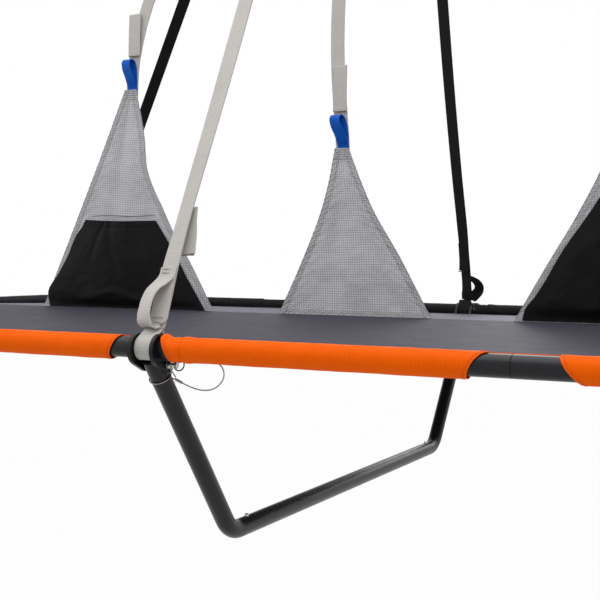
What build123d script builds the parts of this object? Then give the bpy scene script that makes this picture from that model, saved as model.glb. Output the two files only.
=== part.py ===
from build123d import *
from math import acos, atan2, cos, degrees, hypot, pi, radians, sin, sqrt, tan
import os

# Double portaledge hung from one master ring, in millimetres.
# It is laid out with its origin midway between the rail axes, X along the rails,
# Y towards the wall and Z up, and each piece is moved to the master ring when it is written.

# Frame
ledge_length = 2100.0
ledge_width = 1220.0
tube_diameter = 25.4
tube_wall = 1.65
corner_bend_radius = 75.0
rail_joint_x = 445.0
tube_end_chamfer = 0.6
spigot_fit = 0.05
spigot_wall = 1.5
rail_spigot_length = 120.0

# Master ring and its place above the rails
master_height = 1560.0
master_offset_y = 155.0
ring_mean_radius = 50.0
ring_bar_radius = 6.0

# Webbing
webbing_width = 25.0
webbing_thickness = 2.2
webbing_clearance = 0.3
eye_width = 9.0
eye_spacing = 13.5
eye_length = 26.0
eye_clearance = 0.5
fold_run = 260.0
twist_sections = 4
neck_length = 26.0
pull_loop_end = 100.0
tail_top = 194.0
tail_end = 129.0
tail_shift = 10.0
tail_gap = 7.0

# Pull loop: distance up the strap, to its free side, off the strap, and turn in degrees
pull_loop_stations = [
    (97.0, 0.3, 1.7, 0.0),
    (89.0, 4.5, 5.0, -12.0),
    (74.0, 10.5, 11.0, -22.0),
    (60.0, 12.0, 14.5, -26.0),
    (47.5, 11.3, 16.0, -26.0),
    (36.0, 10.5, 15.5, -22.0),
    (29.0, 8.5, 13.0, -16.0),
    (25.5, 4.3, 8.5, -10.0),
    (26.3, 0.0, 4.5, -4.0),
    (32.0, -0.6, 1.6, -1.0),
]

# Fabric
bed_thickness = 1.4
bed_ridge_height = 12.0
bed_slack = 3.0
bed_corner_cut = 68.0
sleeve_radius = 16.2
sleeve_thickness = 1.3
sleeve_drop = 1.6
sleeve_bend_margin = 8.0
fabric_gap = 0.3
joint_notch_x = 457.0
joint_notch_top = 75.0
joint_notch_bottom = 119.0
bracket_notch_top = (-40.0, 19.5)
bracket_notch_bottom = (-52.0, 33.0)
bed_notch_depth = 26.0
bed_notch_width = 42.0

# Divider panels and pockets
panel_thickness = 1.6
centre_panel_base = 138.0
centre_panel_height = 280.0
centre_panel_lean = -23.0
side_panel_x = 463.0
side_panel_base = 188.0
side_panel_height = 402.0
side_panel_lean = 14.0
apex_width = 26.0
pocket_depth = 15.0
pocket_wall = 1.6
pocket_margin = 12.0
left_pocket_height = 163.0
right_pocket_height = 192.0
tab_height = 56.0
tab_gap = 12.0
apex_seam = 12.0

# Bends of the divider straps: from the apex sideways and behind the tab, and the height
centre_bend_low = (-9.0, 11.0, 440.0)
centre_bend_high = (-12.0, 42.0, 720.0)
side_bend_low = (8.0, 6.0, 520.0)
side_bend_high = (60.0, 24.0, 680.0)

# Brackets at mid length
plate_thickness = 5.0
plate_side_gap = 0.5
plate_ring_radius = 19.5
plate_ring_shift = 2.0
lobe_radius = 12.5
lobe_y = 14.5
lobe_z = -17.5
running_gap = 0.05
pin_y = 11.0
pin_z = -20.5

# Quick-release pins
pin_radius = 3.15
pin_tip_x = -31.0
pin_collar_radius = 4.7
pin_collar_length = 4.0
pin_tail_radius = 2.6
pin_tail_length = 7.4
pin_hole_radius = 1.6
pull_ring_radius = 6.8
pull_ring_wire = 0.8
pull_ring_turn = 60.0

# Drop spreader
spreader_half_span = 402.6
spreader_drop = 263.8
leg_bend_radius = 48.0
leg_end_gap = 0.6
spreader_joint_y = 326.0
spreader_spigot_length = 100.0
button_radius = 3.0
button_rise = 3.5
button_setback = 31.0
button_flange_radius = 4.4
button_flange_thickness = 1.2

# Wire lanyard on the front pin
wire_radius = 0.8
noose_setback = 20.0
ferrule_radius = 1.6
ferrule_length = 10.0
eye_ferrule_length = 9.5

# Worked out from the sizes above
tube_radius = tube_diameter / 2
tube_bore = tube_radius - tube_wall
spigot_radius = tube_bore - spigot_fit
rail_y = ledge_width / 2 - tube_radius
end_x = ledge_length / 2 - tube_radius
band_inner = tube_radius + webbing_clearance
band_outer = band_inner + webbing_thickness
plate_inner_x = tube_radius + plate_side_gap
plate_outer_x = plate_inner_x + plate_thickness
bed_edge_z = 0.0
bed_ridge_z = bed_ridge_height
panel_foot_z = bed_ridge_z + bed_thickness + fabric_gap
master = Vector(0, master_offset_y, master_height)
to_row_frame = Location((0, -master_offset_y, -master_height))

nodes = {}


def add(name, shape):
    nodes[name] = shape


def hollow(path, outer, inner):
    """A tube of one wall along a path that starts square to its first run."""
    start = path.location_at(0)
    rim = Plane(start.position, z_dir=path.tangent_at(0))
    rod = sweep(rim * Circle(outer), path=path)
    bore = sweep(rim * Circle(inner), path=path)
    return rod - bore


def eased(tube, ends):
    """A tube with its outer rim chamfered at the given end centres."""
    rims = []
    for edge in tube.edges().filter_by(GeomType.CIRCLE):
        at_end = min((edge.arc_center - Vector(*end)).length for end in ends) < tube_wall
        if at_end and abs(edge.radius - tube_radius) < tube_wall / 2:
            rims.append(edge)
    return chamfer(rims, tube_end_chamfer)


def rod_between(start, end, radius):
    axis = Vector(*end) - Vector(*start)
    base = Plane(start, z_dir=axis)
    return Solid.make_cylinder(radius, axis.length, base)


def side_of(run, across):
    """The direction nearest to across that is square to the run."""
    run = run.normalized()
    return (across - run * across.dot(run)).normalized()


def strip(sections):
    """A flat strap through sections of centre, run, width direction, width and thickness."""
    faces = []
    for centre, run, across, width, thickness in sections:
        plane = Plane(centre, x_dir=side_of(run, across), z_dir=run)
        faces.append(plane * Rectangle(width, thickness))
    return loft(faces, ruled=True)


# Frame tubes

def mid_tube(side):
    half = rail_joint_x
    ends = [(-half, side * rail_y, 0), (half, side * rail_y, 0)]
    return eased(hollow(Line(*ends), tube_radius, tube_bore), ends)


def corner_tube(x_side, y_side):
    start = (x_side * rail_joint_x, y_side * rail_y, 0)
    corner = (x_side * end_x, y_side * rail_y, 0)
    finish = (x_side * end_x, 0, 0)
    path = FilletPolyline(start, corner, finish, radius=corner_bend_radius)
    return eased(hollow(path, tube_radius, tube_bore), [start, finish])


def rail_spigots():
    half = rail_spigot_length / 2
    pieces = []
    for x_side in (-1, 1):
        for y_side in (-1, 1):
            x = x_side * rail_joint_x
            path = Line((x - half, y_side * rail_y, 0), (x + half, y_side * rail_y, 0))
            pieces.append(hollow(path, spigot_radius, spigot_radius - spigot_wall))
    return Compound(children=pieces)


def end_spigots():
    half = rail_spigot_length / 2
    pieces = []
    for x_side in (-1, 1):
        path = Line((x_side * end_x, -half, 0), (x_side * end_x, half, 0))
        pieces.append(hollow(path, spigot_radius, spigot_radius - spigot_wall))
    return Compound(children=pieces)


for name, side in (("front", -1), ("rear", 1)):
    add(f"{name}_mid_tube", mid_tube(side))
    add(f"{name}_left_corner_tube", corner_tube(-1, side))
    add(f"{name}_right_corner_tube", corner_tube(1, side))
add("rail_spigots", rail_spigots())
add("end_spigots", end_spigots())


# Bed and the sleeves that hold it on the rails

def bed_profile(z_shift):
    """Half of the bed's section, from a rail to the ridge that the divider lifts."""
    run = Vector(0, rail_y, bed_edge_z + z_shift)
    ridge = Vector(0, 0, bed_ridge_z + z_shift)
    middle = (run + ridge) * 0.5 - Vector(0, 0, bed_slack)
    return run, middle, ridge


def bed():
    low = bed_profile(0)
    high = bed_profile(bed_thickness)
    under = ThreePointArc(low[0], low[1], low[2])
    over = ThreePointArc(high[0], high[1], high[2])
    rim = Line(low[0], high[0])
    ridge = Line(low[2], high[2])
    half = make_face([under, ridge, over, rim])
    length = 2 * end_x
    sheet = extrude(Pos(-end_x, 0, 0) * half, amount=length, dir=(1, 0, 0))
    sheet = sheet + mirror(sheet, about=Plane.XZ)
    reach = sleeve_radius + fabric_gap
    axis_z = -sleeve_drop
    for side in (-1, 1):
        sheet = sheet - rod_between((-end_x, side * rail_y, axis_z), (end_x, side * rail_y, axis_z), reach)
        sheet = sheet - rod_between((side * end_x, -rail_y, axis_z), (side * end_x, rail_y, axis_z), reach)
        notch = Box(bed_notch_width, 2 * bed_notch_depth, 4 * bed_ridge_height)
        sheet = sheet - Pos(0, side * rail_y, 0) * notch
        for x_side in (-1, 1):
            corner = Box(bed_corner_cut * 2, bed_corner_cut * 2, 4 * bed_ridge_height)
            sheet = sheet - Pos(x_side * end_x, side * rail_y, 0) * Rot(0, 0, 45) * corner
    return sheet.solids().sort_by(SortBy.VOLUME)[-1]


def sleeve_end_cutter(x_top, x_bottom, outward):
    """Takes away all that lies beyond a slanting, hollowed sleeve end."""
    top = Vector(x_top, 0, sleeve_radius)
    low = Vector(x_bottom, 0, -sleeve_radius - 2 * sleeve_drop)
    hollow_by = outward * abs(x_bottom - x_top) * 0.14
    middle = (top + low) * 0.5 - Vector(hollow_by, 0, 0)
    far = Vector(outward * 4 * ledge_length / 2, 0, 0)
    above = Vector(0, 0, sleeve_radius)
    edge = ThreePointArc(top, middle, low)
    outline = [
        edge,
        Line(low, low - above),
        Line(low - above, Vector(far.X, 0, (low - above).Z)),
        Line(Vector(far.X, 0, (low - above).Z), Vector(far.X, 0, (top + above).Z)),
        Line(Vector(far.X, 0, (top + above).Z), top + above),
        Line(top + above, top),
    ]
    face = make_face(outline)
    return extrude(face, amount=2 * sleeve_radius, both=True)


def rail_sleeve(side, start, finish):
    """start and finish are (x at the top, x at the bottom) of the sleeve's two ends."""
    x_low = min(start)
    x_high = max(finish)
    path = Line((x_low, 0, -sleeve_drop), (x_high, 0, -sleeve_drop))
    shell = hollow(path, sleeve_radius, sleeve_radius - sleeve_thickness)
    if start[0] != start[1]:
        shell = shell - sleeve_end_cutter(start[0], start[1], -1)
    if finish[0] != finish[1]:
        shell = shell - sleeve_end_cutter(finish[0], finish[1], 1)
    return Pos(0, side * rail_y, 0) * shell


def end_sleeve(x_side):
    reach = rail_y - corner_bend_radius - sleeve_bend_margin
    path = Line((x_side * end_x, -reach, -sleeve_drop), (x_side * end_x, reach, -sleeve_drop))
    return hollow(path, sleeve_radius, sleeve_radius - sleeve_thickness)


outer_limit = end_x - corner_bend_radius - sleeve_bend_margin
notch_in = (joint_notch_x - joint_notch_top / 2, joint_notch_x - joint_notch_bottom / 2)
notch_out = (joint_notch_x + joint_notch_top / 2, joint_notch_x + joint_notch_bottom / 2)
bracket_left = (bracket_notch_top[0], bracket_notch_bottom[0])
bracket_right = (bracket_notch_top[1], bracket_notch_bottom[1])
for name, side in (("front", -1), ("rear", 1)):
    left_far = (-outer_limit, -outer_limit)
    right_far = (outer_limit, outer_limit)
    left_out = (-notch_out[0], -notch_out[1])
    left_in = (-notch_in[0], -notch_in[1])
    add(f"{name}_sleeve_outer_left", rail_sleeve(side, left_far, left_out))
    add(f"{name}_sleeve_inner_left", rail_sleeve(side, left_in, bracket_left))
    add(f"{name}_sleeve_inner_right", rail_sleeve(side, bracket_right, notch_in))
    add(f"{name}_sleeve_outer_right", rail_sleeve(side, notch_out, right_far))
add("left_end_sleeve", end_sleeve(-1))
add("right_end_sleeve", end_sleeve(1))
add("bed", bed())


# Master ring and the strap eyes on it

def eye_place(step):
    """Centre of a strap eye on the ring, counted from the lowest point."""
    turn = radians(step * eye_spacing)
    out = Vector(sin(turn), 0, -cos(turn))
    return out, master + out * ring_mean_radius


def leaving(step, foot):
    """The direction square to the ring's bar in which a strap leaves it."""
    out, centre = eye_place(step)
    tangent = Vector(-out.Z, 0, out.X)
    run = (Vector(*foot) - centre).normalized()
    return side_of(tangent, run), tangent, centre


def strap_eye(step, foot):
    """The folded and sewn end of a strap, wrapped round the ring's bar."""
    away, tangent, centre = leaving(step, foot)
    plane = Plane(centre - tangent * (eye_width / 2), x_dir=away, z_dir=tangent)
    reach = ring_bar_radius + eye_clearance
    tip = Pos(eye_length, 0) * Circle(webbing_thickness)
    wrap = make_hull(Circle(reach + webbing_thickness).edges() + tip.edges())
    room = make_hull(Circle(reach).edges() + (Pos(eye_length * 0.72, 0) * Circle(fabric_gap)).edges())
    return extrude(plane * (wrap - room), amount=eye_width)


def strap_top(step, foot):
    """Where the plies of a strap come together below its eye, and which way it is wide."""
    away, tangent, centre = leaving(step, foot)
    begin = centre + away * eye_length
    return (Vector(*foot) - begin).normalized(), tangent, begin


def corner_foot(x_side, y_side):
    """Webbing band round the middle of a corner bend, and the sewn neck above it."""
    inset = corner_bend_radius
    centre = Vector(x_side * (end_x - inset), y_side * (rail_y - inset), 0)
    half_turn = degrees(webbing_width / 2 / corner_bend_radius)
    section = Pos(corner_bend_radius, 0, 0) * (Circle(band_outer) - Circle(band_inner))
    section = Rot(90, 0, 0) * section
    band = revolve(section, axis=Axis.Z, revolution_arc=2 * half_turn)
    heading = degrees(atan2(y_side, x_side))
    out = Vector(cos(radians(heading)), sin(radians(heading)), 0)
    band = Location(centre) * Rot(0, 0, heading - half_turn) * band
    return band, centre + out * corner_bend_radius, Vector(-out.Y, out.X, 0)


def strap_solid(foot, across, step, first, bends=()):
    """A strap from the distance first above its foot up to its eye on the ring."""
    lead = bends[-1] if bends else foot
    run, tangent, begin = strap_top(step, lead)
    stations = [Vector(*foot)] + [Vector(*bend) for bend in bends]
    up = (stations[1] - stations[0]).normalized() if bends else (begin - stations[0]).normalized()
    sections = [(stations[0] + up * first, up, across, webbing_width, webbing_thickness)]
    for index in range(1, len(stations)):
        ahead = stations[index + 1] if index + 1 < len(stations) else begin
        along = ahead - stations[index - 1]
        sections.append((stations[index], along, across, webbing_width, webbing_thickness))
    flip = tangent * (1 if across.dot(tangent) >= 0 else -1)
    away, _, _ = leaving(step, lead)
    last = sections[-1][0]
    opened = begin + run * fold_run
    for index in range(1, 2 * twist_sections):
        turned = index / (2 * twist_sections)
        side_way = across * (1 - turned) + flip * turned
        if index <= twist_sections:
            folded = 0.0
            place = last + (opened - last) * (index / twist_sections)
        else:
            folded = index / twist_sections - 1
            place = opened + (begin - opened) * folded
        width = webbing_width + (eye_width - webbing_width) * folded
        sections.append((place, begin - last, side_way, width, webbing_thickness * (1 + folded)))
    sections.append((begin, away * -1, flip, eye_width, 2 * webbing_thickness))
    return strip(sections) + strap_eye(step, lead)


def neck(centre, up, across, start, finish):
    return strip([
        (centre + up * start, up, across, webbing_width, 2 * webbing_thickness),
        (centre + up * finish, up, across, webbing_width, 2 * webbing_thickness),
    ])


def corner_strap(x_side, y_side, step):
    band, foot, across = corner_foot(x_side, y_side)
    _, _, begin = strap_top(step, foot)
    up = (begin - foot).normalized()
    root = neck(foot, up, across, tube_radius + webbing_thickness, neck_length)
    bend_middle = Vector(x_side * (end_x - corner_bend_radius), y_side * (rail_y - corner_bend_radius), 0)
    tube_room = Location(bend_middle) * Torus(corner_bend_radius, band_inner)
    body = strap_solid(foot, across, step, neck_length)
    return (root - tube_room) + band + body


add("master_ring", Location(master) * Rot(90, 0, 0) * Torus(ring_mean_radius, ring_bar_radius))
add("front_left_strap", corner_strap(-1, -1, -4))
add("rear_left_strap", corner_strap(-1, 1, -3))
add("front_right_strap", corner_strap(1, -1, 4))
add("rear_right_strap", corner_strap(1, 1, 3))


# Middle straps with a pull loop above each rail

def mid_run(side, step):
    foot = Vector(0, side * rail_y, 0)
    _, _, begin = strap_top(step, foot)
    flat = Vector(0, begin.Y, begin.Z)
    return foot, (flat - foot).normalized()


def loop_strand(side, step):
    """The strand that stands off the strap, to its left in front and to its right behind."""
    foot, up = mid_run(side, step)
    out = Vector(0, up.Z, -up.Y) * side
    places = []
    for along, sideways, off, _ in pull_loop_stations:
        places.append(foot + up * along + out * off + Vector(side * sideways, 0, 0))
    runs = [after - before for before, after in zip(places, places[2:])]
    runs = [up * -1] + runs + [places[-1] - places[-2]]
    sections = []
    for place, run, station in zip(places, runs, pull_loop_stations):
        turn = radians(station[3])
        sections.append((place, run, Vector(cos(turn), sin(turn), 0), webbing_width, webbing_thickness))
    return strip(sections)


def pull_loop(side, step):
    """Band round the rail, sewn neck, the strap above it and the loop's strand."""
    foot, up = mid_run(side, step)
    across = Vector(1, 0, 0)
    plane = Plane(foot - across * (webbing_width / 2), x_dir=Vector(0, up.Z, -up.Y), z_dir=across)
    band = extrude(plane * (Circle(band_outer) - Circle(band_inner)), amount=webbing_width)
    root = neck(foot, up, across, tube_radius + webbing_thickness, neck_length)
    ply = strip([
        (foot + up * neck_length, up, across, webbing_width, webbing_thickness),
        (foot + up * pull_loop_end, up, across, webbing_width, webbing_thickness),
    ])
    return (band + root) + ply + loop_strand(side, step)


def mid_strap(side, step):
    foot, up = mid_run(side, step)
    across = Vector(1, 0, 0)
    body = strap_solid(foot, across, step, pull_loop_end + fabric_gap)
    inward = Vector(0, -up.Z, up.Y) * side
    tail = strip([
        (foot + up * tail_top + inward * webbing_thickness * 0.8, up, across, webbing_width, webbing_thickness),
        (foot + up * tail_end + inward * tail_gap + across * tail_shift, up, across, webbing_width, webbing_thickness),
    ])
    return body + tail


add("front_mid_strap", mid_strap(-1, -1))
add("rear_mid_strap", mid_strap(1, 1))
add("front_pull_loop", pull_loop(-1, -1))
add("rear_pull_loop", pull_loop(1, 1))


# Divider: three upright panels, two pockets, a loop tab and a strap on each apex

def panel_outline(base_left, base_right, apex_left, apex_right, height, sag_left, sag_right):
    """Upright panel with hollow sides, in the plane of the divider."""
    low_left = Vector(base_left, 0, panel_foot_z)
    low_right = Vector(base_right, 0, panel_foot_z)
    top_left = Vector(apex_left, 0, panel_foot_z + height)
    top_right = Vector(apex_right, 0, panel_foot_z + height)
    mid_left = (low_left + top_left) * 0.5 + Vector(sag_left, 0, 0)
    mid_right = (low_right + top_right) * 0.5 - Vector(sag_right, 0, 0)
    return make_face([
        Line(low_left, low_right),
        ThreePointArc(low_right, mid_right, top_right),
        Line(top_right, top_left),
        ThreePointArc(top_left, mid_left, low_left),
    ])


def upright(face):
    return extrude(face, amount=panel_thickness / 2, both=True)


def centre_panel():
    apex = centre_panel_lean
    half = apex_width / 2
    return upright(panel_outline(
        -centre_panel_base, centre_panel_base, apex - half, apex + half, centre_panel_height, 6, 9))


def side_panel(x_side):
    middle = x_side * side_panel_x
    apex = middle - x_side * side_panel_lean
    half = apex_width / 2
    outer_sag = 8
    inner_sag = 22
    if x_side < 0:
        sags = (outer_sag, inner_sag)
    else:
        sags = (inner_sag, outer_sag)
    return upright(panel_outline(
        middle - side_panel_base, middle + side_panel_base, apex - half, apex + half,
        side_panel_height, *sags))


def pocket(x_side, height):
    """Open-topped pouch that bellies from the front of a side panel."""
    slope = 0.60
    front = -panel_thickness / 2 - fabric_gap
    base = panel_foot_z
    middle = x_side * side_panel_x
    half = side_panel_base - pocket_margin

    def ring(depth, inset, lift, extra):
        left = middle - half + inset
        right = middle + half - inset
        low = base + lift
        high = base + height + extra
        rise = high - low
        return make_face(Polyline(
            (left, front - depth, low),
            (right, front - depth, low),
            (right - rise * slope, front - depth, high),
            (left + rise * (slope - 0.08), front - depth, high),
            close=True))

    outer = loft([ring(0, 0, 0, 0), ring(pocket_depth, 22, 20, 0)], ruled=True)
    wall = pocket_wall
    over = 6.0
    inner = loft([
        ring(-wall, wall * 2, wall, over),
        ring(pocket_depth - wall, 22 + wall * 2, 20 + wall, over),
    ], ruled=True)
    return outer - inner


def loop_tab(apex_x, height_z):
    """Folded webbing loop that stands on a panel's apex, open sideways."""
    back = webbing_thickness / 2
    foot = height_z + fabric_gap
    top = foot + tab_height
    radius = tab_gap / 2 + webbing_thickness
    outer = make_face([
        Line((-back, foot), (back, foot)),
        Line((back, foot), (radius, top - radius)),
        ThreePointArc((radius, top - radius), (0, top), (-radius, top - radius)),
        Line((-radius, top - radius), (-back, foot)),
    ])
    hole = offset(outer, amount=-webbing_thickness, kind=Kind.INTERSECTION)
    plane = Plane((apex_x - webbing_width / 2, 0, 0), x_dir=(0, -1, 0), z_dir=(1, 0, 0))
    if plane.y_dir.Z < 0:
        plane = Plane((apex_x - webbing_width / 2, 0, 0), x_dir=(0, 1, 0), z_dir=(1, 0, 0))
    return extrude(plane * (outer - hole), amount=webbing_width)


def divider_strap(apex_x, apex_z, step, bends):
    """Strap sewn behind a panel's apex, that passes behind the loop tab on its way up."""
    half = webbing_thickness / 2
    seam_y = panel_thickness / 2 + fabric_gap + half
    tab_y = tab_gap / 2 + webbing_thickness + fabric_gap + half
    foot = (apex_x, seam_y, apex_z - apex_seam)
    near = (apex_x, seam_y + fabric_gap, apex_z)
    clear = (apex_x, tab_y, apex_z + tab_height - tab_gap / 2)
    points = [near, clear] + [(apex_x + x, tab_y + y, z) for x, y, z in bends]
    return strap_solid(foot, Vector(1, 0, 0), step, 0.0, points)


centre_top = panel_foot_z + centre_panel_height
side_top = panel_foot_z + side_panel_height
left_apex = -side_panel_x + side_panel_lean
right_apex = side_panel_x - side_panel_lean
add("centre_panel", centre_panel())
add("left_panel", side_panel(-1))
add("right_panel", side_panel(1))
add("left_pocket", pocket(-1, left_pocket_height))
add("right_pocket", pocket(1, right_pocket_height))
add("centre_loop_tab", loop_tab(centre_panel_lean, centre_top))
add("left_loop_tab", loop_tab(left_apex, side_top))
add("right_loop_tab", loop_tab(right_apex, side_top))
add("centre_divider_strap", divider_strap(
    centre_panel_lean, centre_top, 0, [centre_bend_low, centre_bend_high]))
add("left_divider_strap", divider_strap(left_apex, side_top, -2, [side_bend_low, side_bend_high]))
add("right_divider_strap", divider_strap(
    right_apex, side_top, 2, [(-x, y, z) for x, y, z in (side_bend_low, side_bend_high)]))


# Brackets on the rails. Lengths across the rail are counted towards the bed.

def at_rail(side):
    return Location((0, side * rail_y, 0))


def plate_outline(side):
    lean = -side
    ring = Pos(-plate_ring_shift * lean, -plate_ring_shift) * Circle(plate_ring_radius)
    lobe = Pos(lobe_y * lean, lobe_z) * Circle(lobe_radius)
    outline = make_hull(ring.edges() + lobe.edges())
    rail_hole = Circle(tube_radius + running_gap)
    pin_hole = Pos(pin_y * lean, pin_z) * Circle(pin_radius + running_gap)
    return outline - rail_hole - pin_hole


def bracket_plate(side, x_side):
    near = plate_inner_x if x_side > 0 else -plate_outer_x
    plane = Plane((near, 0, 0), x_dir=(0, 1, 0), z_dir=(1, 0, 0))
    plate = extrude(plane * plate_outline(side), amount=plate_thickness)
    return at_rail(side) * plate


for name, side in (("front", -1), ("rear", 1)):
    add(f"{name}_bracket_plate_left", bracket_plate(side, -1))
    add(f"{name}_bracket_plate_right", bracket_plate(side, 1))


# Drop spreader: two bent legs and a straight cross tube

def leg_run(side):
    """Pin centre, bend corner and joint of a leg."""
    pin = Vector(0, side * (rail_y - pin_y), pin_z)
    corner = Vector(0, side * spreader_half_span, -spreader_drop)
    joint = Vector(0, side * spreader_joint_y, -spreader_drop)
    return pin, corner, joint


def leg(side):
    pin, corner, joint = leg_run(side)
    down = (corner - pin).normalized()
    start = pin - down * (2 * tube_radius)
    path = FilletPolyline(start, corner, joint, radius=leg_bend_radius)
    tube = hollow(path, tube_radius, tube_bore)
    to_pin = Vector(0, -side * pin_y, pin_z)
    face_from_rail = band_outer + leg_end_gap
    above = Plane(Vector(0, side * rail_y, 0) + to_pin.normalized() * face_from_rail, z_dir=to_pin * -1)
    tube = tube - extrude(above * Rectangle(8 * tube_radius, 8 * tube_radius), amount=4 * tube_radius)
    hole = rod_between((-2 * tube_radius, pin.Y, pin.Z), (2 * tube_radius, pin.Y, pin.Z), pin_radius + running_gap)
    tube = tube - hole
    return tube - button_hole(side)


def button_hole(side):
    y = side * (spreader_joint_y + button_setback)
    return rod_between((0, y, -spreader_drop), (0, y, -spreader_drop + 2 * tube_radius), button_radius + running_gap)


def spreader_spigot(side):
    half = spreader_spigot_length / 2
    middle = side * spreader_joint_y
    path = Line((0, middle - half, -spreader_drop), (0, middle + half, -spreader_drop))
    return hollow(path, spigot_radius, spigot_radius - spigot_wall) - button_hole(side)


def cross_tube():
    ends = [(0, -spreader_joint_y, -spreader_drop), (0, spreader_joint_y, -spreader_drop)]
    return eased(hollow(Line(*ends), tube_radius, tube_bore), ends)


def snap_button(side):
    """Domed button in the leg's hole, with the flange that keeps it inside the spigot."""
    y = side * (spreader_joint_y + button_setback)
    top = tube_radius + button_rise
    under = sqrt((spigot_radius - spigot_wall) ** 2 - button_flange_radius ** 2)
    flange_top = under - fabric_gap
    base = flange_top - button_flange_thickness
    stem = Pos(0, y, -spreader_drop + base) * Cylinder(
        button_radius, top - base, align=(Align.CENTER, Align.CENTER, Align.MIN))
    stem = fillet(stem.edges().group_by(Axis.Z)[-1], button_radius * 0.6)
    flange = Pos(0, y, -spreader_drop + base) * Cylinder(
        button_flange_radius, button_flange_thickness, align=(Align.CENTER, Align.CENTER, Align.MIN))
    return stem + flange


add("front_leg", leg(-1))
add("rear_leg", leg(1))
add("cross_tube", cross_tube())
for name, side in (("front", -1), ("rear", 1)):
    add(f"{name}_leg_spigot", spreader_spigot(side))
    add(f"{name}_snap_button", snap_button(side))


# Quick-release pins, with collar, cross-drilled tail and pull ring

def pin_lengths():
    neck_end = plate_outer_x + 2 * wire_radius + 0.7
    collar_end = neck_end + pin_collar_length
    tail_end_x = collar_end + pin_tail_length
    ring_x = collar_end + pin_tail_radius + 0.4
    return neck_end, collar_end, tail_end_x, ring_x


def quick_pin(side):
    neck_end, collar_end, tail_end_x, ring_x = pin_lengths()
    rim = 0.8
    profile = Polyline(
        (pin_tip_x, 0),
        (pin_tip_x, pin_radius - rim),
        (pin_tip_x + rim, pin_radius),
        (neck_end, pin_radius),
        (neck_end, pin_collar_radius),
        (collar_end, pin_collar_radius),
        (collar_end, pin_tail_radius),
        (tail_end_x, pin_tail_radius),
        (tail_end_x, pin_tail_radius + rim),
        (tail_end_x + rim, pin_tail_radius + rim),
        (tail_end_x + rim, 0),
        close=True)
    pin = revolve(make_face(profile), axis=Axis.X)
    cross = Pos(ring_x, 0, 0) * Cylinder(pin_hole_radius, 4 * pin_tail_radius)
    place = Location((0, side * (rail_y - pin_y), pin_z))
    return place * (pin - cross)


def pull_ring(side):
    _, _, _, ring_x = pin_lengths()
    hole = Location((ring_x, side * (rail_y - pin_y), pin_z))
    swung = hole * Rot(0, 0, -side * pull_ring_turn)
    return swung * Pos(pull_ring_radius, 0, 0) * Rot(90, 0, 0) * Torus(pull_ring_radius, pull_ring_wire)


for name, side in (("front", -1), ("rear", 1)):
    add(f"{name}_pin", quick_pin(side))
    add(f"{name}_pull_ring", pull_ring(side))


# Wire lanyard: noose round the front leg, free loop, and an eye on the pin's tail.
# The route is counted from the front rail's axis at mid length.

lanyard_route = [
    (29.5, 26.0, -42.9),
    (41.0, 28.0, -48.3),
    (58.6, 29.0, -51.4),
    (73.6, 29.5, -48.1),
    (84.6, 29.5, -38.2),
    (87.0, 29.0, -28.6),
    (83.6, 28.0, -20.0),
    (75.5, 27.0, -14.7),
    (62.0, 25.0, -12.5),
    (50.0, 22.0, -12.8),
    (40.0, 18.5, -15.0),
]


def from_front_rail(point):
    return Vector(point[0], point[1] - rail_y, point[2])


def corner_radii(points, share=0.45):
    """The largest arc that each corner's shorter run allows."""
    radii = []
    for before, here, after in zip(points, points[1:], points[2:]):
        arrive = here - before
        leave = after - here
        turn = arrive.get_angle(leave)
        radii.append(share * min(arrive.length, leave.length) / tan(radians(turn / 2)))
    return radii


def front_lanyard():
    points = [from_front_rail(point) for point in lanyard_route]
    radii = corner_radii(points)
    path = FilletPolyline(*points, radius=radii)
    rim = Plane(points[0], z_dir=points[1] - points[0])
    tube = sweep(rim * Circle(wire_radius), path=path)
    expected = pi * wire_radius ** 2 * path.length
    print("lanyard radii", [round(radius, 1) for radius in radii])
    print("lanyard length", round(path.length, 1), "volume share", round(tube.volume / expected, 4))
    return tube


def lanyard_noose():
    points = [from_front_rail(point) for point in lanyard_route]
    pin, corner, _ = leg_run(-1)
    down = (corner - pin).normalized()
    centre = pin + down * noose_setback
    loop_radius = tube_radius + wire_radius + fabric_gap
    loop = Plane(centre, z_dir=down).location * Torus(loop_radius, wire_radius)
    back = (points[0] - points[1]).normalized()
    ferrule_start = points[0] + back * ferrule_length
    ferrule = rod_between(ferrule_start, points[0], ferrule_radius)
    beside = Vector(loop_radius, centre.Y, centre.Z)
    link = rod_between(beside, ferrule_start - back * wire_radius, wire_radius)
    return (link + ferrule) + loop


def lanyard_eye():
    points = [from_front_rail(point) for point in lanyard_route]
    _, _, tail_end_x, _ = pin_lengths()
    on = (points[-1] - points[-2]).normalized()
    ferrule_end = points[-1] + on * eye_ferrule_length
    ferrule = rod_between(points[-1], ferrule_end, ferrule_radius * 0.8)
    loop_radius = pin_tail_radius + wire_radius + fabric_gap
    centre = Vector(tail_end_x - wire_radius - fabric_gap, -rail_y + pin_y, pin_z)
    loop = Location(centre) * Rot(0, 90, 0) * Torus(loop_radius, wire_radius)
    towards = ferrule_end - centre
    side_way = Vector(0, towards.Y, towards.Z).normalized()
    link = rod_between(centre + side_way * loop_radius, ferrule_end - on, wire_radius)
    return loop + ferrule + link


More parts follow.
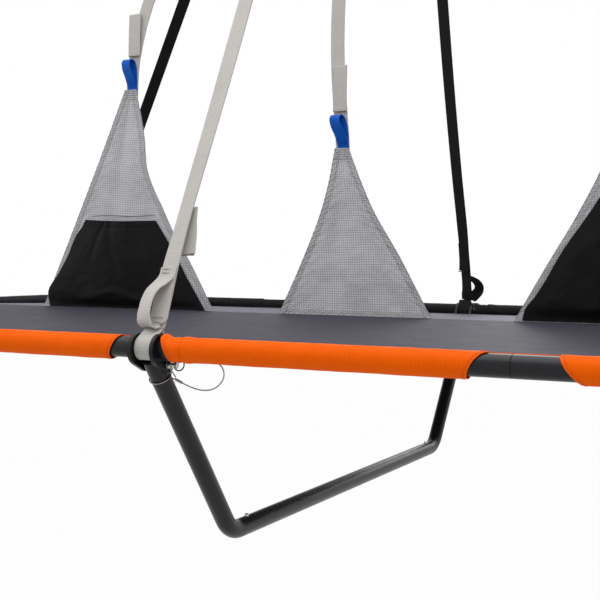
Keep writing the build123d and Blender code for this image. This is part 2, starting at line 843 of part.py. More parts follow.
def lanyard_strand():
    """Short strand from the noose's ferrule up to an eye round the pin's neck."""
    points = [from_front_rail(point) for point in lanyard_route]
    back = (points[0] - points[1]).normalized()
    ferrule_start = points[0] + back * ferrule_length
    loop_radius = pin_radius + wire_radius + running_gap * 2
    centre = Vector(plate_outer_x + wire_radius + fabric_gap, -rail_y + pin_y, pin_z)
    loop = Location(centre) * Rot(0, 90, 0) * Torus(loop_radius, wire_radius)
    low = ferrule_start + Vector(0, 0, ferrule_radius + wire_radius + fabric_gap) - back * wire_radius
    side_way = Vector(0, low.Y - centre.Y, low.Z - centre.Z).normalized()
    return rod_between(centre + side_way * loop_radius, low, wire_radius) + loop


add("front_lanyard", front_lanyard())
add("front_lanyard_noose", lanyard_noose())
add("front_lanyard_eye", lanyard_eye())
add("front_lanyard_strand", lanyard_strand())

os.makedirs("parts", exist_ok=True)
for node_name, shape in nodes.items():
    export_step(to_row_frame * shape, f"parts/{node_name}.step")
print(len(nodes), "nodes")
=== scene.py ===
import math

import bpy
from mathutils import Matrix, Vector, noise


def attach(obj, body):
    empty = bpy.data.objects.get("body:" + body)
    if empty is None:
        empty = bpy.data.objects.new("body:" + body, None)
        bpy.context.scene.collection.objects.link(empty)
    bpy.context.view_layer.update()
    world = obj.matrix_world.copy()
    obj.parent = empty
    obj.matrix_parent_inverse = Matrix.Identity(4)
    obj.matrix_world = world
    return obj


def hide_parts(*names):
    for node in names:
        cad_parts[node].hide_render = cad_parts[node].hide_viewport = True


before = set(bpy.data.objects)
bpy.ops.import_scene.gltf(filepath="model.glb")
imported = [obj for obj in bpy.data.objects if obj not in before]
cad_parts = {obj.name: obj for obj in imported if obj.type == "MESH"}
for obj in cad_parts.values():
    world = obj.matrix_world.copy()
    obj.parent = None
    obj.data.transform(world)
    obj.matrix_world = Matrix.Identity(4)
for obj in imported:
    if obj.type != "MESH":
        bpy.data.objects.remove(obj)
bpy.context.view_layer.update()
print("frame loaded:", len(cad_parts), "nodes")

# measures of the ledge in millimetres, from the middle of the frame between the rails
ledge = {"ringY": 155.0, "ringZ": 1560.0, "railY": 597.3, "endX": 1037.3, "tube": 12.7, "bend": 75.0,
         "ringRadius": 50.0, "ringBar": 6.0, "eyeSpacing": 13.5, "strapWidth": 25.0, "panelFoot": 13.7}


def at(x, y, z):
    return Vector((x, y - ledge["ringY"], z - ledge["ringZ"])) / 1000


def rgb(red, green, blue):
    # screen colour to the shader's own colour
    def one(value):
        value /= 255
        return value / 12.92 if value <= 0.04045 else ((value + 0.055) / 1.055) ** 2.4
    return (one(red), one(green), one(blue), 1.0)


def deselect():
    if bpy.context.object and bpy.context.object.mode != "OBJECT":
        bpy.ops.object.mode_set(mode="OBJECT")
    bpy.ops.object.select_all(action="DESELECT")


def pick(piece):
    deselect()
    piece.select_set(True)
    bpy.context.view_layer.objects.active = piece


def modify(piece, kind, **settings):
    pick(piece)
    bpy.ops.object.modifier_add(type=kind)
    modifier = piece.modifiers[-1]
    for key, value in settings.items():
        setattr(modifier, key, value)
    bpy.ops.object.modifier_apply(modifier=modifier.name)


def smooth(piece, angle=40):
    pick(piece)
    bpy.ops.object.shade_smooth_by_angle(angle=math.radians(angle))


def mix(a, b, t):
    return a + (b - a) * t


def ease(t):
    t = min(max(t, 0.0), 1.0)
    return t * t * (3 - 2 * t)


def through(points, t):
    # a smooth curve through given points, t from 0 to 1 by their spacing
    spans = [(b - a).length for a, b in zip(points, points[1:])]
    reach = min(max(t, 0.0), 1.0) * sum(spans)
    i = 0
    while i < len(spans) - 1 and reach > spans[i]:
        reach -= spans[i]
        i += 1
    s = reach / spans[i]
    a = points[max(i - 1, 0)]
    b = points[i]
    c = points[i + 1]
    d = points[min(i + 2, len(points) - 1)]
    span = spans[i]
    before = (b - a).length or span
    after = (d - c).length or span
    slopeB = slopeC = c - b
    if b != a:
        slopeB = ((c - b) / span * before + (b - a) / before * span) / (before + span) * span
    if d != c:
        slopeC = ((d - c) / after * span + (c - b) / span * after) / (after + span) * span
    return (b * (2 * s ** 3 - 3 * s ** 2 + 1) + slopeB * (s ** 3 - 2 * s ** 2 + s)
            + c * (3 * s ** 2 - 2 * s ** 3) + slopeC * (s ** 3 - s ** 2))


def hump(away, width):
    # a soft bump that fades to nothing a few widths away
    return math.exp(-(away / width) ** 2)


def ripple(x, y, z=0.0):
    # unevenness that is the same each run
    return noise.noise(Vector((x, y, z)))


# the camera as fitted to the photograph: place in millimetres, focal length and frame in pixels
view = {"place": (765.2, -1722.7, 108.1), "focal": 1128.3, "frame": 600, "sensor": 36,
        "right": (0.89376, 0.44845, 0.0087), "down": (0.02411, -0.02867, -0.9993),
        "ahead": (-0.44789, 0.89335, -0.03643)}


def makeCamera():
    deselect()
    bpy.ops.object.camera_add()
    camera = bpy.context.object
    camera.name = "photoCamera"
    axes = Matrix((view["right"], [-v for v in view["down"]], [-v for v in view["ahead"]])).transposed()
    camera.matrix_world = Matrix.Translation(at(*view["place"])) @ axes.to_4x4()
    camera.data.sensor_width = view["sensor"]
    camera.data.lens = view["focal"] / view["frame"] * view["sensor"]
    camera.data.clip_end = 60
    bpy.context.scene.camera = camera


makeCamera()


# shader building

def addNode(tree, kind, x=0, y=0, **settings):
    node = tree.nodes.new(kind)
    node.location = (x, y)
    for key, value in settings.items():
        setattr(node, key, value)
    return node


def wire(tree, source, sourceName, target, targetName):
    tree.links.new(source.outputs[sourceName], target.inputs[targetName])


def calc(tree, operation, first, second=None, third=None, x=0, y=0, clamp=False):
    # one Math node; a number is set on its socket, and a (node, output) pair is wired
    node = addNode(tree, "ShaderNodeMath", x, y, operation=operation, use_clamp=clamp)
    for index, value in enumerate((first, second, third)):
        if value is None:
            continue
        if isinstance(value, tuple):
            tree.links.new(value[0].outputs[value[1]], node.inputs[index])
        else:
            node.inputs[index].default_value = value
    return (node, "Value")


def makeGroup(name, inputs, outputs):
    group = bpy.data.node_groups.new(name, "ShaderNodeTree")
    for label, kind, value in inputs:
        socket = group.interface.new_socket(name=label, in_out="INPUT", socket_type=kind)
        if value is not None:
            socket.default_value = value
    for label, kind in outputs:
        group.interface.new_socket(name=label, in_out="OUTPUT", socket_type=kind)
    return group, addNode(group, "NodeGroupInput", -1400, 0), addNode(group, "NodeGroupOutput", 900, 0)


def wovenThreads():
    # plain weave: over and under threads at one pitch; its tone is a random cloud plus painted shade in the
    # hollows between threads
    group, enter, leave = makeGroup("wovenThreads", [
        ("Vector", "NodeSocketVector", None), ("Pitch", "NodeSocketFloat", 0.0012),
        ("Slant", "NodeSocketFloat", 0.0)],
        [("Height", "NodeSocketFloat"), ("toneAndThreadShade", "NodeSocketFloat")])
    parts = addNode(group, "ShaderNodeSeparateXYZ", -1200, 100)
    wire(group, enter, "Vector", parts, "Vector")
    leaning = calc(group, "MULTIPLY_ADD", (parts, "X"), (enter, "Slant"), (parts, "Y"), -1000, -100)
    turns = calc(group, "DIVIDE", math.pi, (enter, "Pitch"), None, -1000, 250)
    phaseX = calc(group, "MULTIPLY", (parts, "X"), turns, None, -800, 150)
    waveX = calc(group, "SINE", phaseX, None, None, -600, 150)
    phaseY = calc(group, "MULTIPLY", leaning, turns, None, -800, -50)
    waveY = calc(group, "SINE", phaseY, None, None, -600, -50)
    both = calc(group, "MULTIPLY", waveX, waveY, None, -400, 50)
    height = calc(group, "MULTIPLY_ADD", both, 0.5, 0.5, -200, 50)
    cloud = addNode(group, "ShaderNodeTexNoise", -600, -350)
    cloud.inputs["Scale"].default_value = 24
    cloud.inputs["Detail"].default_value = 3
    wire(group, enter, "Vector", cloud, "Vector")
    # painted shade: the low places of the weave are darkened in the tone, added to the random cloud
    relief = calc(group, "MULTIPLY", height, 0.5, None, 0, 150)
    toneAndShade = calc(group, "MULTIPLY_ADD", (cloud, "Fac"), 0.5, relief, 200, 0)
    group.links.new(height[0].outputs[0], leave.inputs["Height"])
    group.links.new(toneAndShade[0].outputs[0], leave.inputs["toneAndThreadShade"])
    return group


def ripstopGrid():
    # thicker threads that stand out as a square grid
    group, enter, leave = makeGroup("ripstopGrid", [
        ("Vector", "NodeSocketVector", None), ("Pitch", "NodeSocketFloat", 0.0046),
        ("Width", "NodeSocketFloat", 0.0011)],
        [("Lines", "NodeSocketFloat")])
    parts = addNode(group, "ShaderNodeSeparateXYZ", -1200, 100)
    wire(group, enter, "Vector", parts, "Vector")
    half = calc(group, "MULTIPLY", (enter, "Pitch"), 0.5, None, -1000, -250)
    lines = []
    for axis, y in (("X", 150), ("Y", -50)):
        near = calc(group, "PINGPONG", (parts, axis), half, None, -800, y)
        share = calc(group, "DIVIDE", near, (enter, "Width"), None, -600, y)
        lines.append(calc(group, "SUBTRACT", 1.0, share, None, -400, y, True))
    grid = calc(group, "MAXIMUM", lines[0], lines[1], None, -200, 100)
    group.links.new(grid[0].outputs[0], leave.inputs["Lines"])
    return group


def surfaceWear():
    # slow cloud for handling marks and fine streaks for scratches
    group, enter, leave = makeGroup("surfaceWear", [
        ("Vector", "NodeSocketVector", None), ("Scale", "NodeSocketFloat", 30.0)],
        [("Cloud", "NodeSocketFloat"), ("Streaks", "NodeSocketFloat")])
    cloud = addNode(group, "ShaderNodeTexNoise", -700, 150)
    cloud.inputs["Detail"].default_value = 5
    cloud.inputs["Roughness"].default_value = 0.6
    wire(group, enter, "Vector", cloud, "Vector")
    wire(group, enter, "Scale", cloud, "Scale")
    stretch = addNode(group, "ShaderNodeMapping", -1100, -200)
    stretch.inputs["Scale"].default_value = (1.0, 14.0, 14.0)
    wire(group, enter, "Vector", stretch, "Vector")
    fine = addNode(group, "ShaderNodeTexNoise", -700, -200)
    fine.inputs["Detail"].default_value = 4
    wire(group, stretch, "Vector", fine, "Vector")
    wire(group, enter, "Scale", fine, "Scale")
    sharp = addNode(group, "ShaderNodeMapRange", -400, -200)
    sharp.inputs["From Min"].default_value = 0.55
    sharp.inputs["From Max"].default_value = 0.75
    wire(group, fine, "Fac", sharp, "Value")
    wire(group, cloud, "Fac", leave, "Cloud")
    wire(group, sharp, "Result", leave, "Streaks")
    return group


groups = {"weave": wovenThreads(), "ripstop": ripstopGrid(), "wear": surfaceWear()}


def newMaterial(name, colour, roughness, metallic=0.0):
    material = bpy.data.materials.new(name)
    material.use_nodes = True
    tree = material.node_tree
    shader = tree.nodes["Principled BSDF"]
    shader.inputs["Base Color"].default_value = colour
    shader.inputs["Roughness"].default_value = roughness
    shader.inputs["Metallic"].default_value = metallic
    material.diffuse_color = colour
    return material, tree, shader


def place(tree, groupName, x, y, source, **values):
    node = addNode(tree, "ShaderNodeGroup", x, y, node_tree=groups[groupName])
    tree.links.new(source, node.inputs["Vector"])
    for key, value in values.items():
        node.inputs[key].default_value = value
    return node


def blendColour(tree, mask, low, high, x, y):
    node = addNode(tree, "ShaderNodeMix", x, y, data_type="RGBA")
    tree.links.new(mask[0].outputs[mask[1]], node.inputs["Factor"])
    node.inputs[6].default_value = low
    node.inputs[7].default_value = high
    return node


def bump(tree, shader, height, strength, distance, x=200, y=-400, below=None):
    node = addNode(tree, "ShaderNodeBump", x, y)
    node.inputs["Strength"].default_value = strength
    node.inputs["Distance"].default_value = distance
    tree.links.new(height[0].outputs[height[1]], node.inputs["Height"])
    if below:
        tree.links.new(below.outputs["Normal"], node.inputs["Normal"])
    tree.links.new(node.outputs["Normal"], shader.inputs["Normal"])
    return node


clothPlan = {
    # dark and light side of the colour, thread pitch in metres and its slant, roughness, gloss, sheen,
    # relief of the threads and of the creases, and a paler colour, painted light on the rear half of the
    # bed
    "orangeCloth": dict(low=rgb(226, 84, 0), high=rgb(242, 100, 0), pitch=0.0023, slant=0.7, rough=0.6,
                        gloss=0.05, sheen=0.0,
                        thread=0.12, crease=0.0006),
    "bedCloth": dict(low=rgb(52, 51, 59), high=rgb(66, 65, 74), pitch=0.0024, slant=0.5, rough=0.6,
                     gloss=0.06, sheen=0.0,
                     thread=0.35, crease=0.0006, pale=rgb(98, 96, 106)),
    "blackCloth": dict(low=rgb(10, 10, 12), high=rgb(19, 19, 22), pitch=0.0012, slant=0.0, rough=0.62,
                       gloss=0.09, sheen=0.0,
                       thread=0.3, crease=0.0014),
    "greyWebbing": dict(low=rgb(170, 167, 163), high=rgb(194, 191, 187), pitch=0.0019, slant=0.9,
                        rough=0.85, gloss=0.12,
                        sheen=0.05, thread=0.28, crease=0.0),
    "blackWebbing": dict(low=rgb(15, 15, 17), high=rgb(27, 27, 30), pitch=0.0019, slant=0.9, rough=0.8,
                         gloss=0.15, sheen=0.02,
                         thread=0.3, crease=0.0),
    "blueWebbing": dict(low=rgb(0, 60, 142), high=rgb(0, 96, 200), pitch=0.0016, slant=0.9, rough=0.6,
                        gloss=0.15, sheen=0.0,
                        thread=0.3, crease=0.0),
}


def makeCloth(name, plan):
    material, tree, shader = newMaterial(name, plan["high"], plan["rough"])
    uv = addNode(tree, "ShaderNodeUVMap", -1300, 0)
    weave = place(tree, "weave", -1000, 100, uv.outputs["UV"], Pitch=plan["pitch"], Slant=plan["slant"])
    # colour from the weave's tone: random cloud tone and painted shade between the threads
    colour = blendColour(tree, (weave, "toneAndThreadShade"), plan["low"], plan["high"], -500, 200)
    # painted light: the rear half of the bed is blended towards the pale colour, standing in for the
    # stronger light that falls on it
    if "pale" in plan:
        half = addNode(tree, "ShaderNodeAttribute", -700, 400, attribute_name="paintedLitRearHalf")
        paintedLitHalves = addNode(tree, "ShaderNodeMix", -250, 200, data_type="RGBA")
        wire(tree, half, "Fac", paintedLitHalves, "Factor")
        tree.links.new(colour.outputs[2], paintedLitHalves.inputs[6])
        paintedLitHalves.inputs[7].default_value = plan["pale"]
        colour = paintedLitHalves
    wire(tree, colour, 2, shader, "Base Color")
    rough = calc(tree, "MULTIPLY_ADD", (weave, "toneAndThreadShade"), -0.16, plan["rough"] + 0.08, -300, -100)
    tree.links.new(rough[0].outputs[0], shader.inputs["Roughness"])
    below = None
    if plan["crease"]:
        space = addNode(tree, "ShaderNodeTexCoord", -1300, -500)
        folds = addNode(tree, "ShaderNodeTexNoise", -1000, -500)
        folds.inputs["Scale"].default_value = 9
        folds.inputs["Detail"].default_value = 4
        folds.inputs["Distortion"].default_value = 0.8
        tree.links.new(space.outputs["Object"], folds.inputs["Vector"])
        below = bump(tree, shader, (folds, "Fac"), 0.6, plan["crease"] * 8, 0, -500)
    bump(tree, shader, (weave, "Height"), plan["thread"], plan["pitch"] * 0.22, 200, -300, below)
    shader.inputs["Sheen Weight"].default_value = plan["sheen"]
    shader.inputs["Specular IOR Level"].default_value = plan["gloss"]
    return material


ripstopPlan = {"low": rgb(186, 186, 190), "high": rgb(218, 218, 222), "line": rgb(118, 118, 122),
               "hem": rgb(112, 112, 116),
               "pitch": 0.0041, "width": 0.0009, "thread": 0.0009, "lineShare": 0.8, "hemShare": 0.22,
               "rough": 0.55, "gloss": 0.25}


def makeRipstop():
    plan = ripstopPlan
    material, tree, shader = newMaterial("ripstopCloth", plan["high"], plan["rough"])
    uv = addNode(tree, "ShaderNodeUVMap", -1500, 0)
    weave = place(tree, "weave", -1200, 200, uv.outputs["UV"], Pitch=plan["thread"])
    grid = place(tree, "ripstop", -1200, -100, uv.outputs["UV"], Pitch=plan["pitch"], Width=plan["width"])
    hem = addNode(tree, "ShaderNodeAttribute", -1200, -350, attribute_name="hem")
    # colour from the weave's tone: random cloud tone and painted shade between the threads
    cloth = blendColour(tree, (weave, "toneAndThreadShade"), plan["low"], plan["high"], -700, 300)
    lined = addNode(tree, "ShaderNodeMix", -450, 200, data_type="RGBA")
    lineShare = calc(tree, "MULTIPLY", (grid, "Lines"), plan["lineShare"], None, -700, 0)
    tree.links.new(lineShare[0].outputs[0], lined.inputs["Factor"])
    tree.links.new(cloth.outputs[2], lined.inputs[6])
    lined.inputs[7].default_value = plan["line"]
    edged = addNode(tree, "ShaderNodeMix", -200, 200, data_type="RGBA")
    hemShare = calc(tree, "MULTIPLY", (hem, "Fac"), plan["hemShare"], None, -450, -150)
    tree.links.new(hemShare[0].outputs[0], edged.inputs["Factor"])
    tree.links.new(lined.outputs[2], edged.inputs[6])
    edged.inputs[7].default_value = plan["hem"]
    wire(tree, edged, 2, shader, "Base Color")
    space = addNode(tree, "ShaderNodeTexCoord", -1500, -600)
    folds = addNode(tree, "ShaderNodeTexNoise", -1200, -600)
    folds.inputs["Scale"].default_value = 11
    folds.inputs["Detail"].default_value = 3
    tree.links.new(space.outputs["Object"], folds.inputs["Vector"])
    below = bump(tree, shader, (folds, "Fac"), 0.8, 0.012, -200, -500)
    bump(tree, shader, (grid, "Lines"), 0.4, 0.0003, 100, -350, below)
    shader.inputs["Specular IOR Level"].default_value = plan["gloss"]
    return material


metalPlan = {
    "tubeCoat": dict(low=rgb(14, 14, 17), high=rgb(24, 24, 29), rough=0.33, metal=0.1, scale=18,
                     scratch=0.05, spec=0.28),
    "bracketMould": dict(low=rgb(8, 8, 9), high=rgb(15, 15, 17), rough=0.42, metal=0.0, scale=60,
                         scratch=0.03, spec=0.22),
    "pinSteel": dict(low=rgb(168, 166, 162), high=rgb(205, 203, 199), rough=0.28, metal=1.0, scale=90,
                     scratch=0.12, spec=0.5),
    "ringWire": dict(low=rgb(34, 31, 30), high=rgb(66, 62, 59), rough=0.35, metal=1.0, scale=120,
                     scratch=0.1, spec=0.5),
    "lanyardWire": dict(low=rgb(98, 86, 78), high=rgb(168, 158, 150), rough=0.38, metal=1.0, scale=400,
                        scratch=0.1, spec=0.5),
    "ringSteel": dict(low=rgb(176, 178, 182), high=rgb(206, 208, 212), rough=0.3, metal=1.0, scale=40,
                      scratch=0.15, spec=0.5),
    "spigotAlloy": dict(low=rgb(172, 172, 176), high=rgb(200, 200, 204), rough=0.4, metal=1.0, scale=50,
                        scratch=0.1, spec=0.5),
}


def makeMetal(name, plan):
    material, tree, shader = newMaterial(name, plan["high"], plan["rough"], plan["metal"])
    space = addNode(tree, "ShaderNodeTexCoord", -1200, 0)
    wear = place(tree, "wear", -900, 0, space.outputs["Object"], Scale=float(plan["scale"]))
    colour = blendColour(tree, (wear, "Cloud"), plan["low"], plan["high"], -300, 200)
    wire(tree, colour, 2, shader, "Base Color")
    base = calc(tree, "MULTIPLY_ADD", (wear, "Cloud"), 0.14, plan["rough"] - 0.07, -500, -50)
    rough = calc(tree, "MULTIPLY_ADD", (wear, "Streaks"), plan["scratch"], base, -300, -100)
    tree.links.new(rough[0].outputs[0], shader.inputs["Roughness"])
    bump(tree, shader, (wear, "Cloud"), 0.05, 0.0003)
    shader.inputs["Specular IOR Level"].default_value = plan["spec"]
    return material


threadPlan = {"greyThread": rgb(126, 122, 118), "burntEdge": rgb(104, 72, 58),
              "darkThread": rgb(60, 60, 63), "blackThread": rgb(16, 16, 18),
              "orangeThread": rgb(176, 52, 6), "blueThread": rgb(4, 40, 130)}


def makeThread(name, colour):
    material, tree, shader = newMaterial(name, colour, 0.7)
    space = addNode(tree, "ShaderNodeTexCoord", -900, 0)
    twist = addNode(tree, "ShaderNodeTexNoise", -700, 0)
    twist.inputs["Scale"].default_value = 900
    tree.links.new(space.outputs["Object"], twist.inputs["Vector"])
    paler = tuple(min(1.0, c * 1.5 + 0.01) for c in colour[:3]) + (1.0,)
    shade = blendColour(tree, (twist, "Fac"), colour, paler, -300, 100)
    wire(tree, shade, 2, shader, "Base Color")
    bump(tree, shader, (twist, "Fac"), 0.3, 0.0002)
    return material


finishes = {name: makeCloth(name, plan) for name, plan in clothPlan.items()}
finishes["ripstopCloth"] = makeRipstop()
finishes.update({name: makeMetal(name, plan) for name, plan in metalPlan.items()})
finishes.update({name: makeThread(name, colour) for name, colour in threadPlan.items()})
print("finishes made:", len(finishes))


# sheets and straps are grids whose rows are laid along the piece

def layGrid(name, rows, closed=False):
    # rows of points in metres; the map's units are metres along and across the cloth
    across = len(rows[0]) - 1
    along = len(rows) - 1
    deselect()
    bpy.ops.mesh.primitive_grid_add(x_subdivisions=across, y_subdivisions=along, size=1, calc_uvs=True)
    piece = bpy.context.object
    piece.name = name
    mesh = piece.data
    mesh.name = name
    middle = across // 2
    lengths = [0.0]
    for a, b in zip(rows, rows[1:]):
        lengths.append(lengths[-1] + (b[middle] - a[middle]).length)
    spot = {}
    for vertex in mesh.vertices:
        i = round((vertex.co.x + 0.5) * across)
        j = round((vertex.co.y + 0.5) * along)
        spot[vertex.index] = (i, j)
    widths = []
    for row in rows:
        sums = [0.0]
        for a, b in zip(row, row[1:]):
            sums.append(sums[-1] + (b - a).length)
        widths.append([s - sums[-1] / 2 for s in sums])
    layer = mesh.uv_layers[0].data
    for loop in mesh.loops:
        i, j = spot[loop.vertex_index]
        layer[loop.index].uv = (widths[j][i], lengths[j])
    for vertex in mesh.vertices:
        i, j = spot[vertex.index]
        vertex.co = rows[j][i]
    if closed:
        modify(piece, "WELD", merge_threshold=0.00002)
    mesh.update()
    return piece


def finishCloth(piece, thickness, offset=0.0, round_=0.0, angle=60):
    modify(piece, "SOLIDIFY", thickness=thickness, offset=offset, use_quality_normals=True)
    if round_:
        modify(piece, "BEVEL", width=round_, segments=2, limit_method="ANGLE", angle_limit=math.radians(55))
    smooth(piece, angle)


def dress(piece, finish, body="ledge", nodes=()):
    piece.data.materials.clear()
    piece.data.materials.append(finishes[finish])
    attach(piece, body)
    if nodes:
        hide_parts(*nodes)
    return piece


def joinPieces(name, parts):
    deselect()
    for part in parts:
        part.select_set(True)
    bpy.context.view_layer.objects.active = parts[0]
    bpy.ops.object.join()
    whole = bpy.context.object
    whole.name = name
    whole.data.name = name
    return whole


def stitchLine(name, points, finish, pitch=3.2, size=0.38, gap=0.35, body="ledge"):
    # one stitch modelled, then copied along the seam and joined
    parts = []
    spans = [(b - a).length for a, b in zip(points, points[1:])]
    count = max(int(sum(spans) * 1000 / pitch), 1)
    deselect()
    bpy.ops.mesh.primitive_cylinder_add(vertices=6, radius=size / 1000, depth=1.0, end_fill_type="NGON")
    first = bpy.context.object
    stitch = first.data
    for index in range(count):
        a = through(points, (index + gap / 2) / count)
        b = through(points, (index + 1 - gap / 2) / count)
        run = b - a
        turn = run.to_track_quat("Z", "Y").to_matrix().to_4x4()
        copy = bpy.data.objects.new(name, stitch.copy())
        bpy.context.collection.objects.link(copy)
        copy.data.transform(Matrix.Translation((a + b) / 2) @ turn @ Matrix.Diagonal((1, 1, run.length, 1)))
        parts.append(copy)
    bpy.data.objects.remove(first)
    piece = joinPieces(name, parts)
    smooth(piece, 50)
    return dress(piece, finish, body)


# free lanyard on the front pin: the route's points as in the model

lanyard = {"diameter": 0.0016, "length": 0.1253,
           "route": [(29.5, 26.0, -42.9), (41.0, 28.0, -48.3), (58.6, 29.0, -51.4), (73.6, 29.5, -48.1),
                     (84.6, 29.5, -38.2),
                     (87.0, 29.0, -28.6), (83.6, 28.0, -20.0), (75.5, 27.0, -14.7), (62.0, 25.0, -12.5),
                     (50.0, 22.0, -12.8),
                     (40.0, 18.5, -15.0)]}


def makeLanyard():
    deselect()
    bpy.ops.curve.primitive_nurbs_path_add()
    piece = bpy.context.object
    piece.name = "lanyardLoop"
    curve = piece.data
    curve.splines.clear()
    spline = curve.splines.new("NURBS")
    spline.points.add(len(lanyard["route"]) - 1)
    for point, (x, y, z) in zip(spline.points, lanyard["route"]):
        point.co = (*at(x, y - ledge["railY"], z), 1)
    spline.order_u = 3
    spline.use_endpoint_u = True
    curve.dimensions = "3D"
    curve.resolution_u = 10
    curve.bevel_depth = lanyard["diameter"] / 2
    curve.bevel_resolution = 4
    curve.use_fill_caps = True
    dress(piece, "lanyardWire", "front_pin", ["front_lanyard"])


makeLanyard()
print("lanyard made")


# rigid pieces keep their shape from the model and get their finish here

nodeFinish = {
    "tubeCoat": ["front_mid_tube", "rear_mid_tube", "front_left_corner_tube", "front_right_corner_tube",
                 "rear_left_corner_tube", "rear_right_corner_tube", "front_leg", "rear_leg", "cross_tube"],
    "spigotAlloy": ["rail_spigots", "end_spigots", "front_leg_spigot", "rear_leg_spigot"],
    "bracketMould": ["front_bracket_plate_left", "front_bracket_plate_right", "rear_bracket_plate_left",
                     "rear_bracket_plate_right"],
    "pinSteel": ["front_pin", "rear_pin", "front_snap_button", "rear_snap_button"],
    "ringWire": ["front_pull_ring", "rear_pull_ring"],
    "lanyardWire": ["front_lanyard_eye", "front_lanyard_strand", "front_lanyard_noose"],
    "ringSteel": ["master_ring"],
}
for finish, names in nodeFinish.items():
    for name in names:
        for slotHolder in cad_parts[name].material_slots:
            slotHolder.material = finishes[finish]
print("rigid pieces finished")


# sleeves round the rails

sleeve = {"radius": 15.2, "drop": 0.5, "thickness": 1.2, "around": 48, "step": 2.5, "sag": 0.45,
          "inset": 0.1, "fineSag": 0.35, "notchTop": 37.5, "notchBottom": 59.5, "notchX": 457.0,
          "bendMargin": 8.0, "endRows": 150, "endSag": 0.5, "endFineSag": 0.3,
          "stitchIn": 4.0, "stitchLift": 0.25, "clear": 0.3}


def sleeveRows(side, starts, ends, seed, lift=None):
    # starts and ends are x at the top, x at the bottom and how the cut bends between them
    count = max(int(abs(ends[0] - starts[0]) / sleeve["step"]), 8)
    rows = []
    for j in range(count + 1):
        t = j / count
        row = []
        for i in range(sleeve["around"] + 1):
            angle = 2 * math.pi * i / sleeve["around"]
            low = (1 - math.cos(angle)) / 2
            x = mix(mix(starts[0], starts[1], low ** starts[2]), mix(ends[0], ends[1], low ** ends[2]), t)
            slow = ripple(x / 60 + seed, math.cos(angle), seed + math.sin(angle))
            radius = sleeve["radius"] - sleeve["inset"]
            radius += sleeve["sag"] * slow * (0.4 + 0.6 * low)
            radius += sleeve["fineSag"] * ripple(x / 17, math.cos(angle) * 2,
                                                 seed + 4 + math.sin(angle) * 2)
            if lift:
                radius += lift(x, angle)
            y = side * ledge["railY"] - math.sin(angle) * radius
            z = -sleeve["drop"] + math.cos(angle) * radius
            row.append(at(x, y, z))
        rows.append(row)
    return rows


# height of each feature of the gathered cloth, its distance from the middle and its width
pinch = {"lifted": (3.4, 24, 4), "dip": (-0.8, 36, 5), "crease": (-3.0, 46, 2.0), "swell": (0.9, 54, 7)}


def bracketPinch(x, angle):
    # gathered cloth beside the bracket: a lifted corner, a dip and one crease
    top = max(0.0, math.cos(angle))
    high, spot, width = pinch["lifted"]
    lifted = high * hump(x - spot, width) * top ** 2
    high, spot, width = pinch["dip"]
    dip = high * hump(x - spot, width) * top
    high, spot, width = pinch["crease"]
    crease = high * hump(x - spot - 5 * math.sin(angle), width) * (0.5 + 0.5 * max(0.0, math.sin(angle)))
    high, spot, width = pinch["swell"]
    swell = high * hump(x - spot, width)
    return lifted + dip + crease + swell


def makeSleeve(name, side, starts, ends, finish, seed, lift=None):
    piece = layGrid(name, sleeveRows(side, starts, ends, seed, lift), closed=True)
    finishCloth(piece, sleeve["thickness"] / 1000, offset=-1.0, round_=0.0003)
    dress(piece, finish, "ledge", [name.replace("Cloth", "")])


def sleeveEnd(side, tops, inward, seed, finish):
    # row of stitches a few millimetres in from a slanted end
    points = []
    for k in range(25):
        angle = 2 * math.pi * k / 24
        low = (1 - math.cos(angle)) / 2
        x = mix(tops[0], tops[1], low ** tops[2]) + inward * sleeve["stitchIn"]
        radius = sleeve["radius"] + sleeve["stitchLift"]
        y = side * ledge["railY"] - math.sin(angle) * radius
        points.append(at(x, y, -sleeve["drop"] + math.cos(angle) * radius))
    stitchLine(f"sleeveStitch{seed}", points, finish, pitch=3.6, size=0.3)


notchIn = (sleeve["notchX"] - sleeve["notchTop"], sleeve["notchX"] - sleeve["notchBottom"], 0.45)
notchOut = (sleeve["notchX"] + sleeve["notchTop"], sleeve["notchX"] + sleeve["notchBottom"], 1.4)
farEnd = ledge["endX"] - ledge["bend"] - sleeve["bendMargin"]
brackets = {-1: ((-40.5, -53.0, 1.0), (17.0, 33.0, 0.5)), 1: ((-17.0, -30.0, 0.6), (19.5, 31.0, 0.6))}


def mirrored(cut):
    return (-cut[0], -cut[1], cut[2])


for word, side, finish in (("front", -1, "orangeCloth"), ("rear", 1, "blackCloth")):
    base = 3 if side < 0 else 17
    leftBracket, rightBracket = brackets[side]
    thread = "orangeThread" if side < 0 else "blackThread"
    makeSleeve(f"{word}_sleeve_outer_leftCloth", side, (-farEnd, -farEnd, 1.0), mirrored(notchOut),
               finish, base)
    makeSleeve(f"{word}_sleeve_inner_leftCloth", side, mirrored(notchIn), leftBracket, finish, base + 1)
    makeSleeve(f"{word}_sleeve_inner_rightCloth", side, rightBracket, notchIn, finish, base + 2,
               bracketPinch)
    makeSleeve(f"{word}_sleeve_outer_rightCloth", side, notchOut, (farEnd, farEnd, 1.0), finish, base + 3)
    cuts = [(leftBracket, -1), (rightBracket, 1), (notchIn, -1), (notchOut, 1), (mirrored(notchIn), 1),
            (mirrored(notchOut), -1)]
    for k, (cut, inward) in enumerate(cuts):
        sleeveEnd(side, cut, inward, base + 1 + k, thread)


